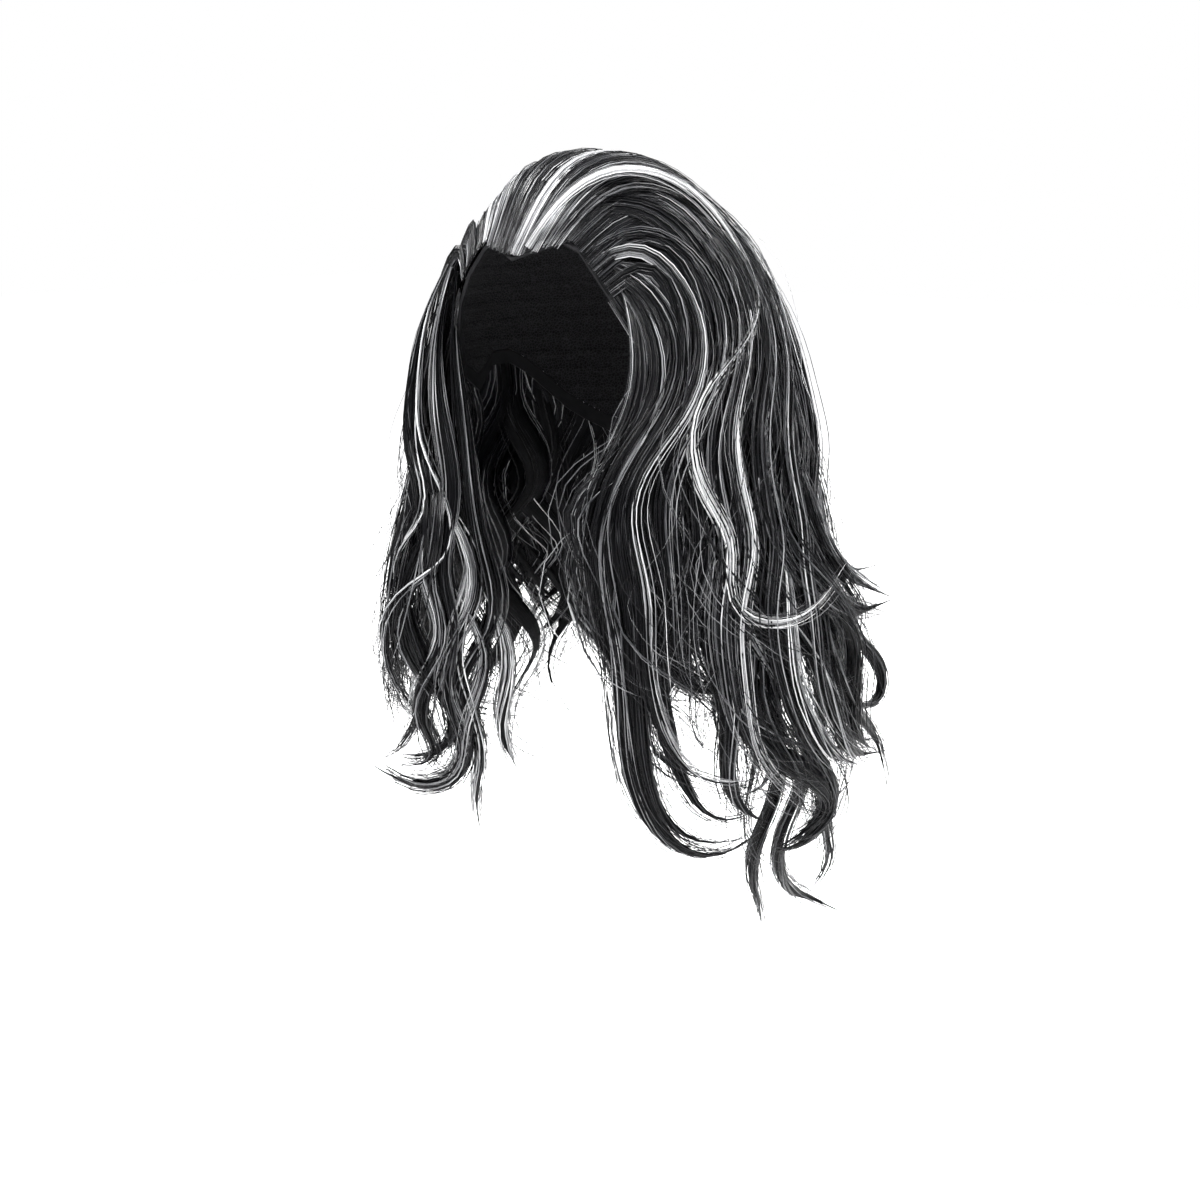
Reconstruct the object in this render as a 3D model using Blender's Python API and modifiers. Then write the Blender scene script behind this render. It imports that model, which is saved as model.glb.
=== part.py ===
"""Long wavy wig: a soft cap with an edge band, a swept top of hair and seven falls of wavy locks.

Metres, +Z up. The face opening looks to -Y and the wearer's left is +X. The origin is the inner
top of the cap, where the crown of a head meets it. Azimuth 0 is the front and grows to the
wearer's left. A depth is measured down from the origin.
"""

import bpy
import bmesh
from math import acos, cos, degrees, hypot, pi, radians, sin, sqrt

# Head form that the cap is made for
HEAD_HALF_WIDTH = 0.075
HEAD_HALF_DEPTH = 0.095
CROWN_RISE = 0.112
NAPE_TAPER = 0.135

# Cap and its edge band
CAP_WALL = 0.0016
BAND_WALL = 0.0018
BAND_WIDTH = 0.007
BAND_SEAM = 0.0004
RIM_DEPTH = 0.165
CAP_STATIONS = 40
CAP_ROWS = 8

# Top hair
TOP_LAY = 0.0009
TOP_EDGE_DEPTH = 0.078
TOP_SEAM = 0.0028
TOP_ROWS = 9
CROWN_THICKNESS = 0.018
HAIRLINE_THICKNESS = 0.007
SWEEP_RIDGE = 0.0022
SWEEP_PITCH = 0.034

# Falls
HAIR_DROP = 0.470
STAND_OFF = 0.077
FALL_LAY = 0.0015
FALL_GAP = 0.0016
FALL_THICKNESS = 0.030
RING_PITCH = 0.019
TOP_LEAN = 0.0080
LEAN_REACH = 0.050
WAVE_LENGTH = 0.118
WAVE_CREST_DEPTH = 0.200
WAVE_SWING = 0.015
WAVE_SWELL = 0.004
RIDGE_HEIGHT = 0.0045
LOCK_WIDTH = 0.036
LOCK_SIDES = 6
LOCK_PITCH = 0.0145
LOCK_LEAST_DEPTH = 0.002
LOCK_SUNK = 0.004
SLOPE_STEP = 0.002

# Lower edge of the cap. Columns: azimuth in degrees, depth as a share of RIM_DEPTH
RIM = (
    (0, 0.25),
    (16, 0.215),
    (33, 0.205),
    (50, 0.37),
    (64, 0.56),
    (78, 0.75),
    (92, 0.65),
    (106, 0.69),
    (128, 0.86),
    (152, 0.96),
    (180, 1.0),
)

# Outer side of the hair below the crown, measured from the head's girth.
# Columns: depth as a share of HAIR_DROP, stand-off as a share of STAND_OFF
SPREAD = (
    (0.14, 0.31),
    (0.20, 0.40),
    (0.27, 0.52),
    (0.33, 0.62),
    (0.40, 0.66),
    (0.46, 0.78),
    (0.53, 0.91),
    (0.60, 0.97),
    (0.66, 1.00),
    (0.73, 1.00),
    (0.80, 0.95),
    (0.88, 0.86),
    (1.00, 0.62),
)

# How full the hair stands round the head. Columns: azimuth in degrees, share of the stand-off
FULLNESS = (
    (0, 0.60),
    (50, 0.66),
    (90, 0.90),
    (126, 1.0),
    (180, 0.90),
    (234, 0.86),
    (270, 0.76),
    (306, 0.66),
    (360, 0.60),
)

# Front edges of the falls. Columns: depth as a share of HAIR_DROP, forward turn in degrees of the
# wearer's left edge, and of the right edge, from the azimuth where they leave the cap
FRONT_EDGE_AZIMUTH = 57.0
FRONT_EDGES = (
    (0.14, 0, 0),
    (0.24, 4, 2),
    (0.30, 10, 3),
    (0.35, 15, 4),
    (0.42, 18, 6),
    (0.53, 18, 8),
    (0.60, 13, 8),
    (0.70, 10, 6),
    (0.80, 5, 4),
    (1.00, 0, 0),
)

# Falls from the wearer's left temple round the back to the right temple. Columns: name, where it
# begins and ends round the head from 0 to 1, depth of its curtain as a share of HAIR_DROP
FALLS = (
    ("fall_left_temple", 0.00, 0.13, 0.60),
    ("fall_left_side", 0.13, 0.27, 0.58),
    ("fall_left_back", 0.27, 0.42, 0.74),
    ("fall_back", 0.42, 0.58, 0.78),
    ("fall_right_back", 0.58, 0.73, 0.74),
    ("fall_right_side", 0.73, 0.87, 0.66),
    ("fall_right_temple", 0.87, 1.00, 0.60),
)

# Locks of each fall. Columns: fall, place across it from -1 to 1, depth where it starts and its
# length as shares of HAIR_DROP, width as a share of LOCK_WIDTH, sideways hook of its tip and
# outward flip of its tip in degrees
LOCKS = (
    ("fall_left_temple", -0.10, 0.20, 0.50, 0.90, 20, 0),
    ("fall_left_temple", -0.40, 0.48, 0.50, 0.90, 95, 14),
    ("fall_left_temple", 0.40, 0.48, 0.30, 0.75, 35, 35),
    ("fall_left_side", -0.35, 0.20, 0.44, 1.00, -25, 45),
    ("fall_left_side", 0.10, 0.46, 0.40, 0.80, -20, 60),
    ("fall_left_side", 0.62, 0.46, 0.60, 0.80, -20, -20),
    ("fall_left_back", -0.40, 0.28, 0.32, 0.85, -15, 85),
    ("fall_left_back", 0.20, 0.20, 0.50, 1.00, 30, 15),
    ("fall_left_back", -0.50, 0.60, 0.40, 0.85, -20, 70),
    ("fall_left_back", 0.45, 0.62, 0.40, 0.85, -40, 25),
    ("fall_back", 0.05, 0.20, 0.56, 1.00, 30, 10),
    ("fall_back", -0.55, 0.64, 0.38, 0.85, 50, 35),
    ("fall_back", 0.00, 0.66, 0.38, 0.85, -35, 15),
    ("fall_back", 0.55, 0.64, 0.38, 0.85, -50, 40),
    ("fall_right_back", 0.20, 0.20, 0.54, 1.00, -30, 15),
    ("fall_right_back", -0.45, 0.60, 0.40, 0.85, 40, 50),
    ("fall_right_back", 0.50, 0.60, 0.40, 0.80, -45, 20),
    ("fall_right_side", -0.15, 0.20, 0.50, 1.00, 30, 10),
    ("fall_right_side", -0.50, 0.54, 0.42, 0.80, 30, 40),
    ("fall_right_side", 0.40, 0.54, 0.44, 0.80, -60, 25),
    ("fall_right_temple", 0.10, 0.20, 0.44, 0.90, -30, 0),
    ("fall_right_temple", 0.45, 0.48, 0.38, 0.85, -60, 20),
    ("fall_right_temple", -0.45, 0.48, 0.38, 0.75, -30, 50),
)

# Ridges across a curtain's outer side. Columns: place from -1 to 1, height as a share of RIDGE_HEIGHT
CURTAIN_RIDGES = (
    (-1.00, -1.6),
    (-0.66, 1.0),
    (-0.33, -0.6),
    (0.00, 1.0),
    (0.33, -0.6),
    (0.66, 1.0),
    (1.00, -1.6),
)
INNER_PLACES = (0.94, 0.33, -0.33, -0.94)

COLOURS = {
    "cap_net": ((0.020, 0.020, 0.022, 1), 0.8),
    "edge_tape": ((0.012, 0.012, 0.014, 1), 0.7),
    "hair_black": ((0.016, 0.017, 0.020, 1), 0.4),
    "hair_grey": ((0.055, 0.056, 0.060, 1), 0.4),
}


def curve_through(rows, column, place):
    """Smooth value of a table's column at a place along its first column."""
    if place <= rows[0][0]:
        return rows[0][column]
    if place >= rows[-1][0]:
        return rows[-1][column]
    after = next(i for i, row in enumerate(rows) if row[0] > place)
    low = rows[after - 1]
    high = rows[after]
    before_low = rows[max(after - 2, 0)]
    past_high = rows[min(after + 1, len(rows) - 1)]
    step = high[0] - low[0]
    share = (place - low[0]) / step
    slope_low = (high[column] - before_low[column]) / (high[0] - before_low[0]) * step
    slope_high = (past_high[column] - low[column]) / (past_high[0] - low[0]) * step
    return (
        low[column] * (1 + 2 * share) * (1 - share) ** 2
        + slope_low * share * (1 - share) ** 2
        + high[column] * share**2 * (3 - 2 * share)
        + slope_high * share**2 * (share - 1)
    )


def smooth(low, high, value):
    share = min(max((value - low) / (high - low), 0.0), 1.0)
    return share * share * (3 - 2 * share)


def point(azimuth, radius, depth):
    turn = radians(azimuth)
    return (radius * sin(turn), -radius * cos(turn), -depth)


def girth(azimuth):
    """Radius of the head at its widest level."""
    across = HEAD_HALF_DEPTH * sin(radians(azimuth))
    along = HEAD_HALF_WIDTH * cos(radians(azimuth))
    return HEAD_HALF_WIDTH * HEAD_HALF_DEPTH / hypot(across, along)


def polar_of(depth):
    """Angle from the crown, in degrees, at which the head reaches a depth."""
    above = CROWN_RISE - depth
    return degrees(acos(above / (CROWN_RISE if above > 0 else NAPE_TAPER)))


def head_point(azimuth, polar, offset):
    turn = radians(azimuth)
    angle = radians(polar)
    rise = CROWN_RISE + offset if polar < 90 else NAPE_TAPER
    return (
        (HEAD_HALF_WIDTH + offset) * sin(angle) * sin(turn),
        -(HEAD_HALF_DEPTH + offset) * sin(angle) * cos(turn),
        rise * cos(angle) - CROWN_RISE,
    )


def head_radius(azimuth, depth, offset):
    above = CROWN_RISE - depth
    rise = CROWN_RISE + offset if above > 0 else NAPE_TAPER
    return (girth(azimuth) + offset) * sqrt(max(0.0, 1 - (above / rise) ** 2))


def rim_depth(azimuth):
    side = abs((azimuth + 180) % 360 - 180)
    return RIM_DEPTH * curve_through(RIM, 1, side)


def stations():
    return [360 * i / CAP_STATIONS for i in range(CAP_STATIONS)]


def material(name):
    colour, roughness = COLOURS[name]
    made = bpy.data.materials.get(name) or bpy.data.materials.new(name)
    made.use_nodes = True
    shader = made.node_tree.nodes["Principled BSDF"]
    shader.inputs["Base Color"].default_value = colour
    shader.inputs["Roughness"].default_value = roughness
    shader.inputs["Metallic"].default_value = 0.0
    return made


def loft(name, rings, collection, material_name, first_end=None, last_end=None, around=True):
    """Skin rings of points. An end may close on a point; a ring is a loop when around is set."""
    mesh = bpy.data.meshes.new(name)
    shape = bmesh.new()
    rows = [[shape.verts.new(spot) for spot in ring] for ring in rings]
    count = len(rings[0])
    steps = range(count if around else count - 1)
    for upper, lower in zip(rows, rows[1:]):
        for i in steps:
            j = (i + 1) % count
            shape.faces.new((upper[i], lower[i], lower[j], upper[j]))
    for end, row, turned in ((first_end, rows[0], False), (last_end, rows[-1], True)):
        if end is None:
            continue
        tip = shape.verts.new(end)
        for i in range(count):
            pair = (row[i], row[(i + 1) % count])
            shape.faces.new((tip, *(reversed(pair) if turned else pair)))
    bmesh.ops.recalc_face_normals(shape, faces=shape.faces[:])
    shape.to_mesh(mesh)
    shape.free()
    mesh.shade_smooth()
    made = bpy.data.objects.new(name, mesh)
    made.data.materials.append(material(material_name))
    collection.objects.link(made)
    return made


def thicken(made, wall):
    solidify = made.modifiers.new("wall", "SOLIDIFY")
    solidify.thickness = wall
    solidify.offset = 1.0


def build_cap(collection):
    """Dome of net from the crown down to the seam with the edge band."""
    seam = degrees((BAND_WIDTH + BAND_SEAM) / HEAD_HALF_DEPTH)
    rings = []
    for row in range(1, CAP_ROWS + 1):
        share = row / CAP_ROWS
        rings.append(
            [head_point(a, share * (polar_of(rim_depth(a)) - seam), 0) for a in stations()]
        )
    made = loft("cap", rings, collection, "cap_net", first_end=(0, 0, 0))
    thicken(made, CAP_WALL)


def build_edge_band(collection):
    """Tape that carries on from the cap's edge all round the rim."""
    width = degrees(BAND_WIDTH / HEAD_HALF_DEPTH)
    rings = []
    for share in (1.0, 0.5, 0.0):
        rings.append(
            [head_point(a, polar_of(rim_depth(a)) - share * width, 0) for a in stations()]
        )
    made = loft("edge_band", rings, collection, "edge_tape")
    thicken(made, BAND_WALL)


def outer_radius(azimuth, depth):
    share = depth / HAIR_DROP
    stand = STAND_OFF * curve_through(SPREAD, 1, share)
    return girth(azimuth) + stand * curve_through(FULLNESS, 1, azimuth % 360)


def top_thickness(azimuth, share):
    """Thickness of the top hair along a meridian, from the crown at 0 to its lower edge at 1."""
    edge_depth = min(rim_depth(azimuth), TOP_EDGE_DEPTH)
    side = outer_radius(azimuth, edge_depth) - head_radius(azimuth, edge_depth, 0)
    hangs = smooth(0.5, 0.95, edge_depth / TOP_EDGE_DEPTH)
    edge = HAIRLINE_THICKNESS + (side - HAIRLINE_THICKNESS) * hangs
    return CROWN_THICKNESS + (edge - CROWN_THICKNESS) * smooth(0.5, 1.0, share)


def build_top_hair(collection):
    """Thick skin of hair, swept back from the hairline in low ridges."""
    lay = BAND_WALL + TOP_LAY
    outer = []
    inner = []
    for row in range(1, TOP_ROWS + 1):
        share = row / TOP_ROWS
        outside = []
        inside = []
        for azimuth in stations():
            polar = share * polar_of(min(rim_depth(azimuth), TOP_EDGE_DEPTH))
            x, y, z = head_point(azimuth, polar, 0)
            ridge = SWEEP_RIDGE * cos(2 * pi * (x - 0.35 * y) / SWEEP_PITCH)
            thickness = top_thickness(azimuth, share) + ridge * smooth(0, 0.4, share)
            outside.append(head_point(azimuth, polar, lay + thickness))
            inside.append(head_point(azimuth, polar, lay))
        outer.append(outside)
        inner.append(inside)
    crown = (0, 0, lay + CROWN_THICKNESS)
    loft(
        "top_hair",
        outer + inner[::-1],
        collection,
        "hair_grey",
        first_end=crown,
        last_end=(0, 0, lay),
    )


def fall_azimuth(place, depth):
    """Azimuth at a place round the falls, from 0 at the left temple to 1 at the right one."""
    share = depth / HAIR_DROP
    left = curve_through(FRONT_EDGES, 1, share)
    right = curve_through(FRONT_EDGES, 2, share)
    start = FRONT_EDGE_AZIMUTH + (360 - 2 * FRONT_EDGE_AZIMUTH) * place
    return start - left * (1 - place) ** 3 + right * place**3


def wave_phase(place, depth):
    return 2 * pi * (depth - WAVE_CREST_DEPTH) / WAVE_LENGTH + pi * place


def wave_growth(depth):
    return smooth(TOP_EDGE_DEPTH, 0.8 * WAVE_CREST_DEPTH, depth)


def swing(place, depth):
    return -WAVE_SWING * wave_growth(depth) * cos(wave_phase(place, depth))


def hair_radius(azimuth, place, depth):
    swell = WAVE_SWELL * wave_growth(depth) * sin(wave_phase(place, depth))
    return outer_radius(azimuth, depth) + swell


def curtain_point(depth, begins, ends, across, inset, sideways):
    """Point of a curtain: across runs from -1 to 1, and inset goes in from the outer side."""
    middle = (begins + ends) / 2
    here = middle + across * (ends - begins) / 2
    azimuth = fall_azimuth(here, depth)
    radius = hair_radius(azimuth, here, depth)
    azimuth += degrees((swing(here, depth) - across * sideways) / radius)
    return azimuth, radius - inset


def curtain_thickness(azimuth, radius, depth, bottom):
    """The hair rests on the cap above, and thins out towards the curtain's lower edge."""
    head = head_radius(azimuth, depth, CAP_WALL + FALL_LAY)
    thin = 1 - 0.62 * smooth(0.30 * HAIR_DROP, bottom, depth)
    return min(radius - head, FALL_THICKNESS * thin) if depth > CROWN_RISE else radius - head


def build_curtain(name, begins, ends, bottom_share, collection, material_name):
    top = TOP_EDGE_DEPTH + TOP_SEAM
    bottom = bottom_share * HAIR_DROP
    steps = round((bottom - top) / RING_PITCH)
    rings = []
    for step in range(steps + 1):
        depth = top + (bottom - top) * step / steps
        narrow = FALL_GAP / 2
        raised = depth - TOP_LEAN * (1 - smooth(top, top + LEAN_REACH, depth))
        ring = []
        for across, ridge in CURTAIN_RIDGES:
            inset = -ridge * RIDGE_HEIGHT * wave_growth(depth)
            azimuth, radius = curtain_point(raised, begins, ends, across, inset, narrow)
            ring.append(point(azimuth, radius, raised))
        for across in INNER_PLACES:
            azimuth, radius = curtain_point(depth, begins, ends, across, 0, narrow)
            inside = radius - curtain_thickness(azimuth, radius, depth, bottom)
            ring.append(point(azimuth, inside, depth))
        rings.append(ring)

    ends_at = [centre_of(ring[3:4] * 2 + ring[8:10]) for ring in (rings[0], rings[-1])]
    return loft(name, rings, collection, material_name, *ends_at)


def centre_of(spots):
    return tuple(sum(spot[i] for spot in spots) / len(spots) for i in range(3))


def cross(a, b):
    return (
        a[1] * b[2] - a[2] * b[1],
        a[2] * b[0] - a[0] * b[2],
        a[0] * b[1] - a[1] * b[0],
    )


def unit(v):
    size = sqrt(sum(x * x for x in v))
    return tuple(x / size for x in v)


def lock_path(begins, ends, across, start_share, length_share, hook, flip):
    """Points down a lock, which follows the curtain's waves until its tip hooks and flips."""
    length = length_share * HAIR_DROP
    steps = max(6, round(length / LOCK_PITCH))
    stride = length / steps
    middle = (begins + ends) / 2
    place = middle + across * (ends - begins) / 2
    depth = start_share * HAIR_DROP
    aside = 0.0
    out = 0.0
    path = []
    for step in range(steps + 1):
        azimuth = fall_azimuth(place, depth)
        radius = hair_radius(azimuth, place, depth)
        azimuth += degrees((swing(place, depth) + aside) / radius)
        path.append(point(azimuth, radius + out, depth))
        share = (step + 1) / steps
        turned = radians(hook) * smooth(0.45, 1.0, share)
        lifted = radians(flip) * smooth(0.55, 1.0, share)
        aside += stride * sin(turned) * cos(lifted)
        out += stride * sin(lifted)
        depth += stride * cos(turned) * cos(lifted) / hypot(1, wave_slope(place, depth))
    return path


def wave_slope(place, depth):
    return (swing(place, depth + SLOPE_STEP) - swing(place, depth)) / SLOPE_STEP


def build_lock(name, path, width, collection):
    """Flattened tube along a path, wide in its middle and pointed at its tip."""
    rings = []
    last = len(path) - 1
    for i, spot in enumerate(path):
        share = i / last
        ahead = path[min(i + 1, last)]
        behind = path[max(i - 1, 0)]
        along = unit(tuple(a - b for a, b in zip(ahead, behind)))
        outward = unit((spot[0], spot[1], 0))
        sideways = unit(cross(along, outward))
        normal = cross(sideways, along)
        swell = 0.55 + 0.45 * smooth(0, 0.3, share)
        taper = swell * (1 - 0.72 * smooth(0.50, 1.0, share))
        half = width / 2 * taper
        deep = max(half * 0.5, LOCK_LEAST_DEPTH)
        sunk = LOCK_SUNK * (1 - smooth(0.3, 0.8, share))
        centre = tuple(c - n * sunk for c, n in zip(spot, normal))
        ring = []
        for side in range(LOCK_SIDES):
            turn = 2 * pi * side / LOCK_SIDES
            ring.append(
                tuple(
                    c + s * half * cos(turn) + n * deep * sin(turn)
                    for c, s, n in zip(centre, sideways, normal)
                )
            )
        rings.append(ring)

    made = loft(name, rings, collection, "hair_grey", centre_of(rings[0]), centre_of(rings[-1]))
    made.hide_render = True
    made.display_type = "WIRE"
    return made


def build_fall(row, index, parts, helpers):
    name, begins, ends, bottom_share = row
    colour = "hair_grey" if index % 2 == 0 else "hair_black"
    curtain = build_curtain(name, begins, ends, bottom_share, parts, colour)
    locks = bpy.data.collections.new(name + "_locks")
    locks.hide_render = True
    helpers.children.link(locks)
    for number, lock in enumerate(LOCKS):
        fall, across, start, length, width, hook, flip = lock
        if fall != name:
            continue
        path = lock_path(begins, ends, across, start, length, hook, flip)
        build_lock(f"{name}_lock_{number}", path, width * LOCK_WIDTH, locks)
    union = curtain.modifiers.new("locks", "BOOLEAN")
    union.operation = "UNION"
    union.operand_type = "COLLECTION"
    union.collection = locks
    union.solver = "EXACT"


def main():
    for old in list(bpy.data.objects):
        bpy.data.objects.remove(old)
    parts = bpy.data.collections.new("long_wavy_wig")
    helpers = bpy.data.collections.new("helpers")
    helpers.hide_render = True
    bpy.context.scene.collection.children.link(parts)
    bpy.context.scene.collection.children.link(helpers)
    build_cap(parts)
    build_edge_band(parts)
    build_top_hair(parts)
    for index, row in enumerate(FALLS):
        build_fall(row, index, parts, helpers)


main()
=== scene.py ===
from functools import partial
from math import cos, pi, radians, sin

import bpy
import numpy as np
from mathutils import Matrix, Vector


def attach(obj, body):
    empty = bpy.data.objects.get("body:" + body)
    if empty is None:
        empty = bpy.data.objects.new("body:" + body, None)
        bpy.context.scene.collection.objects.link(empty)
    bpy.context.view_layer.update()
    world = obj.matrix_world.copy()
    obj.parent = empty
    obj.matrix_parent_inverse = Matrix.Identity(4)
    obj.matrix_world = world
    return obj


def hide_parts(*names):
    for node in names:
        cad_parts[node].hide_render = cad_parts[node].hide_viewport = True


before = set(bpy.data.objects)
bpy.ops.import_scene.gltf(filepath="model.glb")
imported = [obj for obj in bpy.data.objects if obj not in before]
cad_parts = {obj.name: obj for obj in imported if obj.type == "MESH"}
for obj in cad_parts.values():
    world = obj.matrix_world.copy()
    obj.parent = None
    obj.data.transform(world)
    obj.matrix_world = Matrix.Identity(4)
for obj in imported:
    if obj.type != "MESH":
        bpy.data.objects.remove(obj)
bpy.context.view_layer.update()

# The room. The camera stands level with the crown, 36 degrees to the wearer's left, and looks a
# little down. The floor is a plain pale sheet below the longest tips, under soft studio lamps.
VIEW_AZIMUTH = radians(36)
VIEW_PITCH = radians(14.6)
VIEW_YAW = 0.005
CAMERA_AWAY = 0.95
CAMERA_LENS = 48
CAMERA_SENSOR = 36
FLOOR_LEVEL = -0.50
FLOOR_HALF = 6.0
FLOOR_COLOUR = (0.93, 0.93, 0.935, 1)
FLOOR_GRAIN_COLOUR = (0.95, 0.95, 0.95, 1)
FLOOR_GLOW = 1.0
SKY_COLOUR = (1.0, 1.0, 1.0, 1)
SKY_LIGHT = 0.09


def add(tree, kind, inputs=(), **settings):
    """A node with its settings, and its inputs set to values or linked to sockets."""
    made = tree.nodes.new(kind)
    for name, value in settings.items():
        setattr(made, name, value)
    for key, value in dict(inputs).items():
        socket = made.inputs[key]
        if isinstance(value, bpy.types.NodeSocket):
            tree.links.new(value, socket)
        else:
            socket.default_value = value
    return made


def math_node(tree, operation, a, b=0.0, c=0.0):
    return add(tree, "ShaderNodeMath", {0: a, 1: b, 2: c}, operation=operation).outputs[0]


def map_range(tree, value, low, high, first=0.0, last=1.0):
    inputs = {"Value": value, 1: low, 2: high, 3: first, 4: last}
    return add(tree, "ShaderNodeMapRange", inputs).outputs[0]


def placed(name, data):
    """A new object in the scene."""
    made = bpy.data.objects.new(name, data)
    bpy.context.scene.collection.objects.link(made)
    return made


def new_finish(name, roughness, gloss=0.5):
    """A material with its shader, ready for the nodes of one finish."""
    made = bpy.data.materials.new(name)
    made.use_nodes = True
    shader = made.node_tree.nodes["Principled BSDF"]
    shader.inputs["Roughness"].default_value = roughness
    shader.inputs["Specular IOR Level"].default_value = gloss
    return made, made.node_tree, shader


def tint(tree, shader, share, first, second):
    """Gives a shader a colour between two colours."""
    mix = add(tree, "ShaderNodeMix", {0: share, 6: first, 7: second}, data_type="RGBA")
    tree.links.new(mix.outputs[2], shader.inputs["Base Color"])


def emboss(tree, shader, height, strength, distance):
    """Gives a shader a bump."""
    inputs = {"Height": height, "Strength": strength, "Distance": distance}
    bump = add(tree, "ShaderNodeBump", inputs)
    tree.links.new(bump.outputs["Normal"], shader.inputs["Normal"])


def build_room():
    camera = placed("camera", bpy.data.cameras.new("camera"))
    camera.location = (CAMERA_AWAY * sin(VIEW_AZIMUTH), -CAMERA_AWAY * cos(VIEW_AZIMUTH), 0)
    level = Vector((-sin(VIEW_AZIMUTH), cos(VIEW_AZIMUTH), 0))
    ahead = level * cos(VIEW_PITCH) - sin(VIEW_PITCH) * Vector((0, 0, 1))
    ahead += VIEW_YAW * Vector((cos(VIEW_AZIMUTH), sin(VIEW_AZIMUTH), 0))
    camera.rotation_euler = ahead.to_track_quat("-Z", "Y").to_euler()
    camera.data.lens = CAMERA_LENS
    camera.data.sensor_width = CAMERA_SENSOR
    camera.data.clip_start = 0.01
    bpy.context.scene.camera = camera

    corners = [(-FLOOR_HALF, -FLOOR_HALF), (FLOOR_HALF, -FLOOR_HALF)]
    corners += [(FLOOR_HALF, FLOOR_HALF), (-FLOOR_HALF, FLOOR_HALF)]
    sheet = bpy.data.meshes.new("floor")
    sheet.from_pydata([(x, y, FLOOR_LEVEL) for x, y in corners], [], [(0, 1, 2, 3)])
    floor = placed("floor", sheet)
    paper, tree, shader = new_finish("floor_paper", 0.8)
    grain = add(tree, "ShaderNodeTexNoise", {"Scale": 9.0, "Detail": 3.0})
    tint(tree, shader, grain.outputs["Fac"], FLOOR_COLOUR, FLOOR_GRAIN_COLOUR)
    shader.inputs["Emission Color"].default_value = FLOOR_COLOUR
    seen = add(tree, "ShaderNodeLightPath").outputs["Is Camera Ray"]
    glow = math_node(tree, "MULTIPLY", seen, FLOOR_GLOW)
    tree.links.new(glow, shader.inputs["Emission Strength"])
    floor.data.materials.append(paper)

    world = bpy.context.scene.world or bpy.data.worlds.new("sky")
    bpy.context.scene.world = world
    world.use_nodes = True
    tree = world.node_tree
    sky = tree.nodes["Background"]
    sky.inputs["Color"].default_value = SKY_COLOUR
    sky.inputs["Strength"].default_value = SKY_LIGHT
    backdrop = add(tree, "ShaderNodeBackground", {"Color": SKY_COLOUR, "Strength": 1.0})
    seen = add(tree, "ShaderNodeLightPath").outputs["Is Camera Ray"]
    sheets = add(tree, "ShaderNodeMixShader", {0: seen, 1: sky.outputs[0], 2: backdrop.outputs[0]})
    tree.links.new(sheets.outputs[0], tree.nodes["World Output"].inputs["Surface"])
    bpy.context.scene.view_settings.view_transform = "Standard"


# Soft lamps. Columns: azimuth and height in degrees, distance, width of the lamp, power in watts
LAMPS = (
    (-14, 50, 1.5, 0.36, 50),
    (82, 38, 1.6, 0.36, 40),
    (170, 45, 1.7, 0.7, 30),
    (262, 40, 1.7, 0.5, 30),
)


def hang_lamps():
    for number, (azimuth, height, away, width, power) in enumerate(LAMPS):
        lamp = bpy.data.lights.new(f"lamp_{number}", "AREA")
        lamp.size = width
        lamp.energy = power
        made = placed(f"lamp_{number}", lamp)
        turn, rise = radians(azimuth), radians(height)
        back = Vector((sin(turn) * cos(rise), -cos(turn) * cos(rise), sin(rise)))
        made.location = Vector((0, 0, -0.15)) + back * away
        made.rotation_euler = (-back).to_track_quat("-Z", "Y").to_euler()


build_room()
hang_lamps()


# The cap is a hollow dome of soft black stretch net. Rows of machine-sewn hair run round it about
# every 11 mm, which shows from inside the hollow.
NET_COLOUR = (0.004, 0.004, 0.005, 1)
NET_THREAD_COLOUR = (0.018, 0.018, 0.020, 1)
NET_CELL = 0.0018
ROW_PITCH = 0.011

# Scale of a wave texture with one wave in each unit of length
WAVES = 0.314


def net_finish():
    made, tree, shader = new_finish("cap_net", 0.82, 0.2)
    place = add(tree, "ShaderNodeTexCoord").outputs["Object"]
    net = {"Vector": place, "Scale": 1 / NET_CELL}
    cells = add(tree, "ShaderNodeTexVoronoi", net, feature="DISTANCE_TO_EDGE")
    thread = map_range(tree, cells.outputs["Distance"], 0.02, 0.16, 1.0, 0.0)
    sewn = {"Vector": place, "Scale": WAVES / ROW_PITCH, "Distortion": 0.6, "Detail": 1.0}
    rows = add(tree, "ShaderNodeTexWave", sewn, bands_direction="Z").outputs["Fac"]
    height = math_node(tree, "ADD", map_range(tree, rows, 0.55, 0.9), thread)
    tint(tree, shader, thread, NET_COLOUR, NET_THREAD_COLOUR)
    emboss(tree, shader, height, 0.6, 0.0008)
    return made


def dress_node(name, finish):
    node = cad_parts[name]
    for slot in node.material_slots:
        slot.material = finish


dress_node("cap", net_finish())


# The edge band is black woven tape that carries on from the net round the whole rim. Its weave is
# a fine twill, a little shinier than the net.
TAPE_COLOUR = (0.004, 0.004, 0.005, 1)
TAPE_LIGHT_COLOUR = (0.012, 0.012, 0.014, 1)
TAPE_THREAD = 0.0007


def tape_finish():
    made, tree, shader = new_finish("edge_tape", 0.72, 0.2)
    place = add(tree, "ShaderNodeTexCoord").outputs["Object"]
    yarn = {"Vector": place, "Scale": WAVES / TAPE_THREAD, "Distortion": 0.4}
    threads = [
        add(tree, "ShaderNodeTexWave", yarn, bands_direction=direction).outputs["Fac"]
        for direction in ("DIAGONAL", "Z")
    ]
    weave = math_node(tree, "MULTIPLY", *threads)
    tint(tree, shader, weave, TAPE_COLOUR, TAPE_LIGHT_COLOUR)
    emboss(tree, shader, weave, 0.5, 0.0003)
    return made


dress_node("edge_band", tape_finish())


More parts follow.
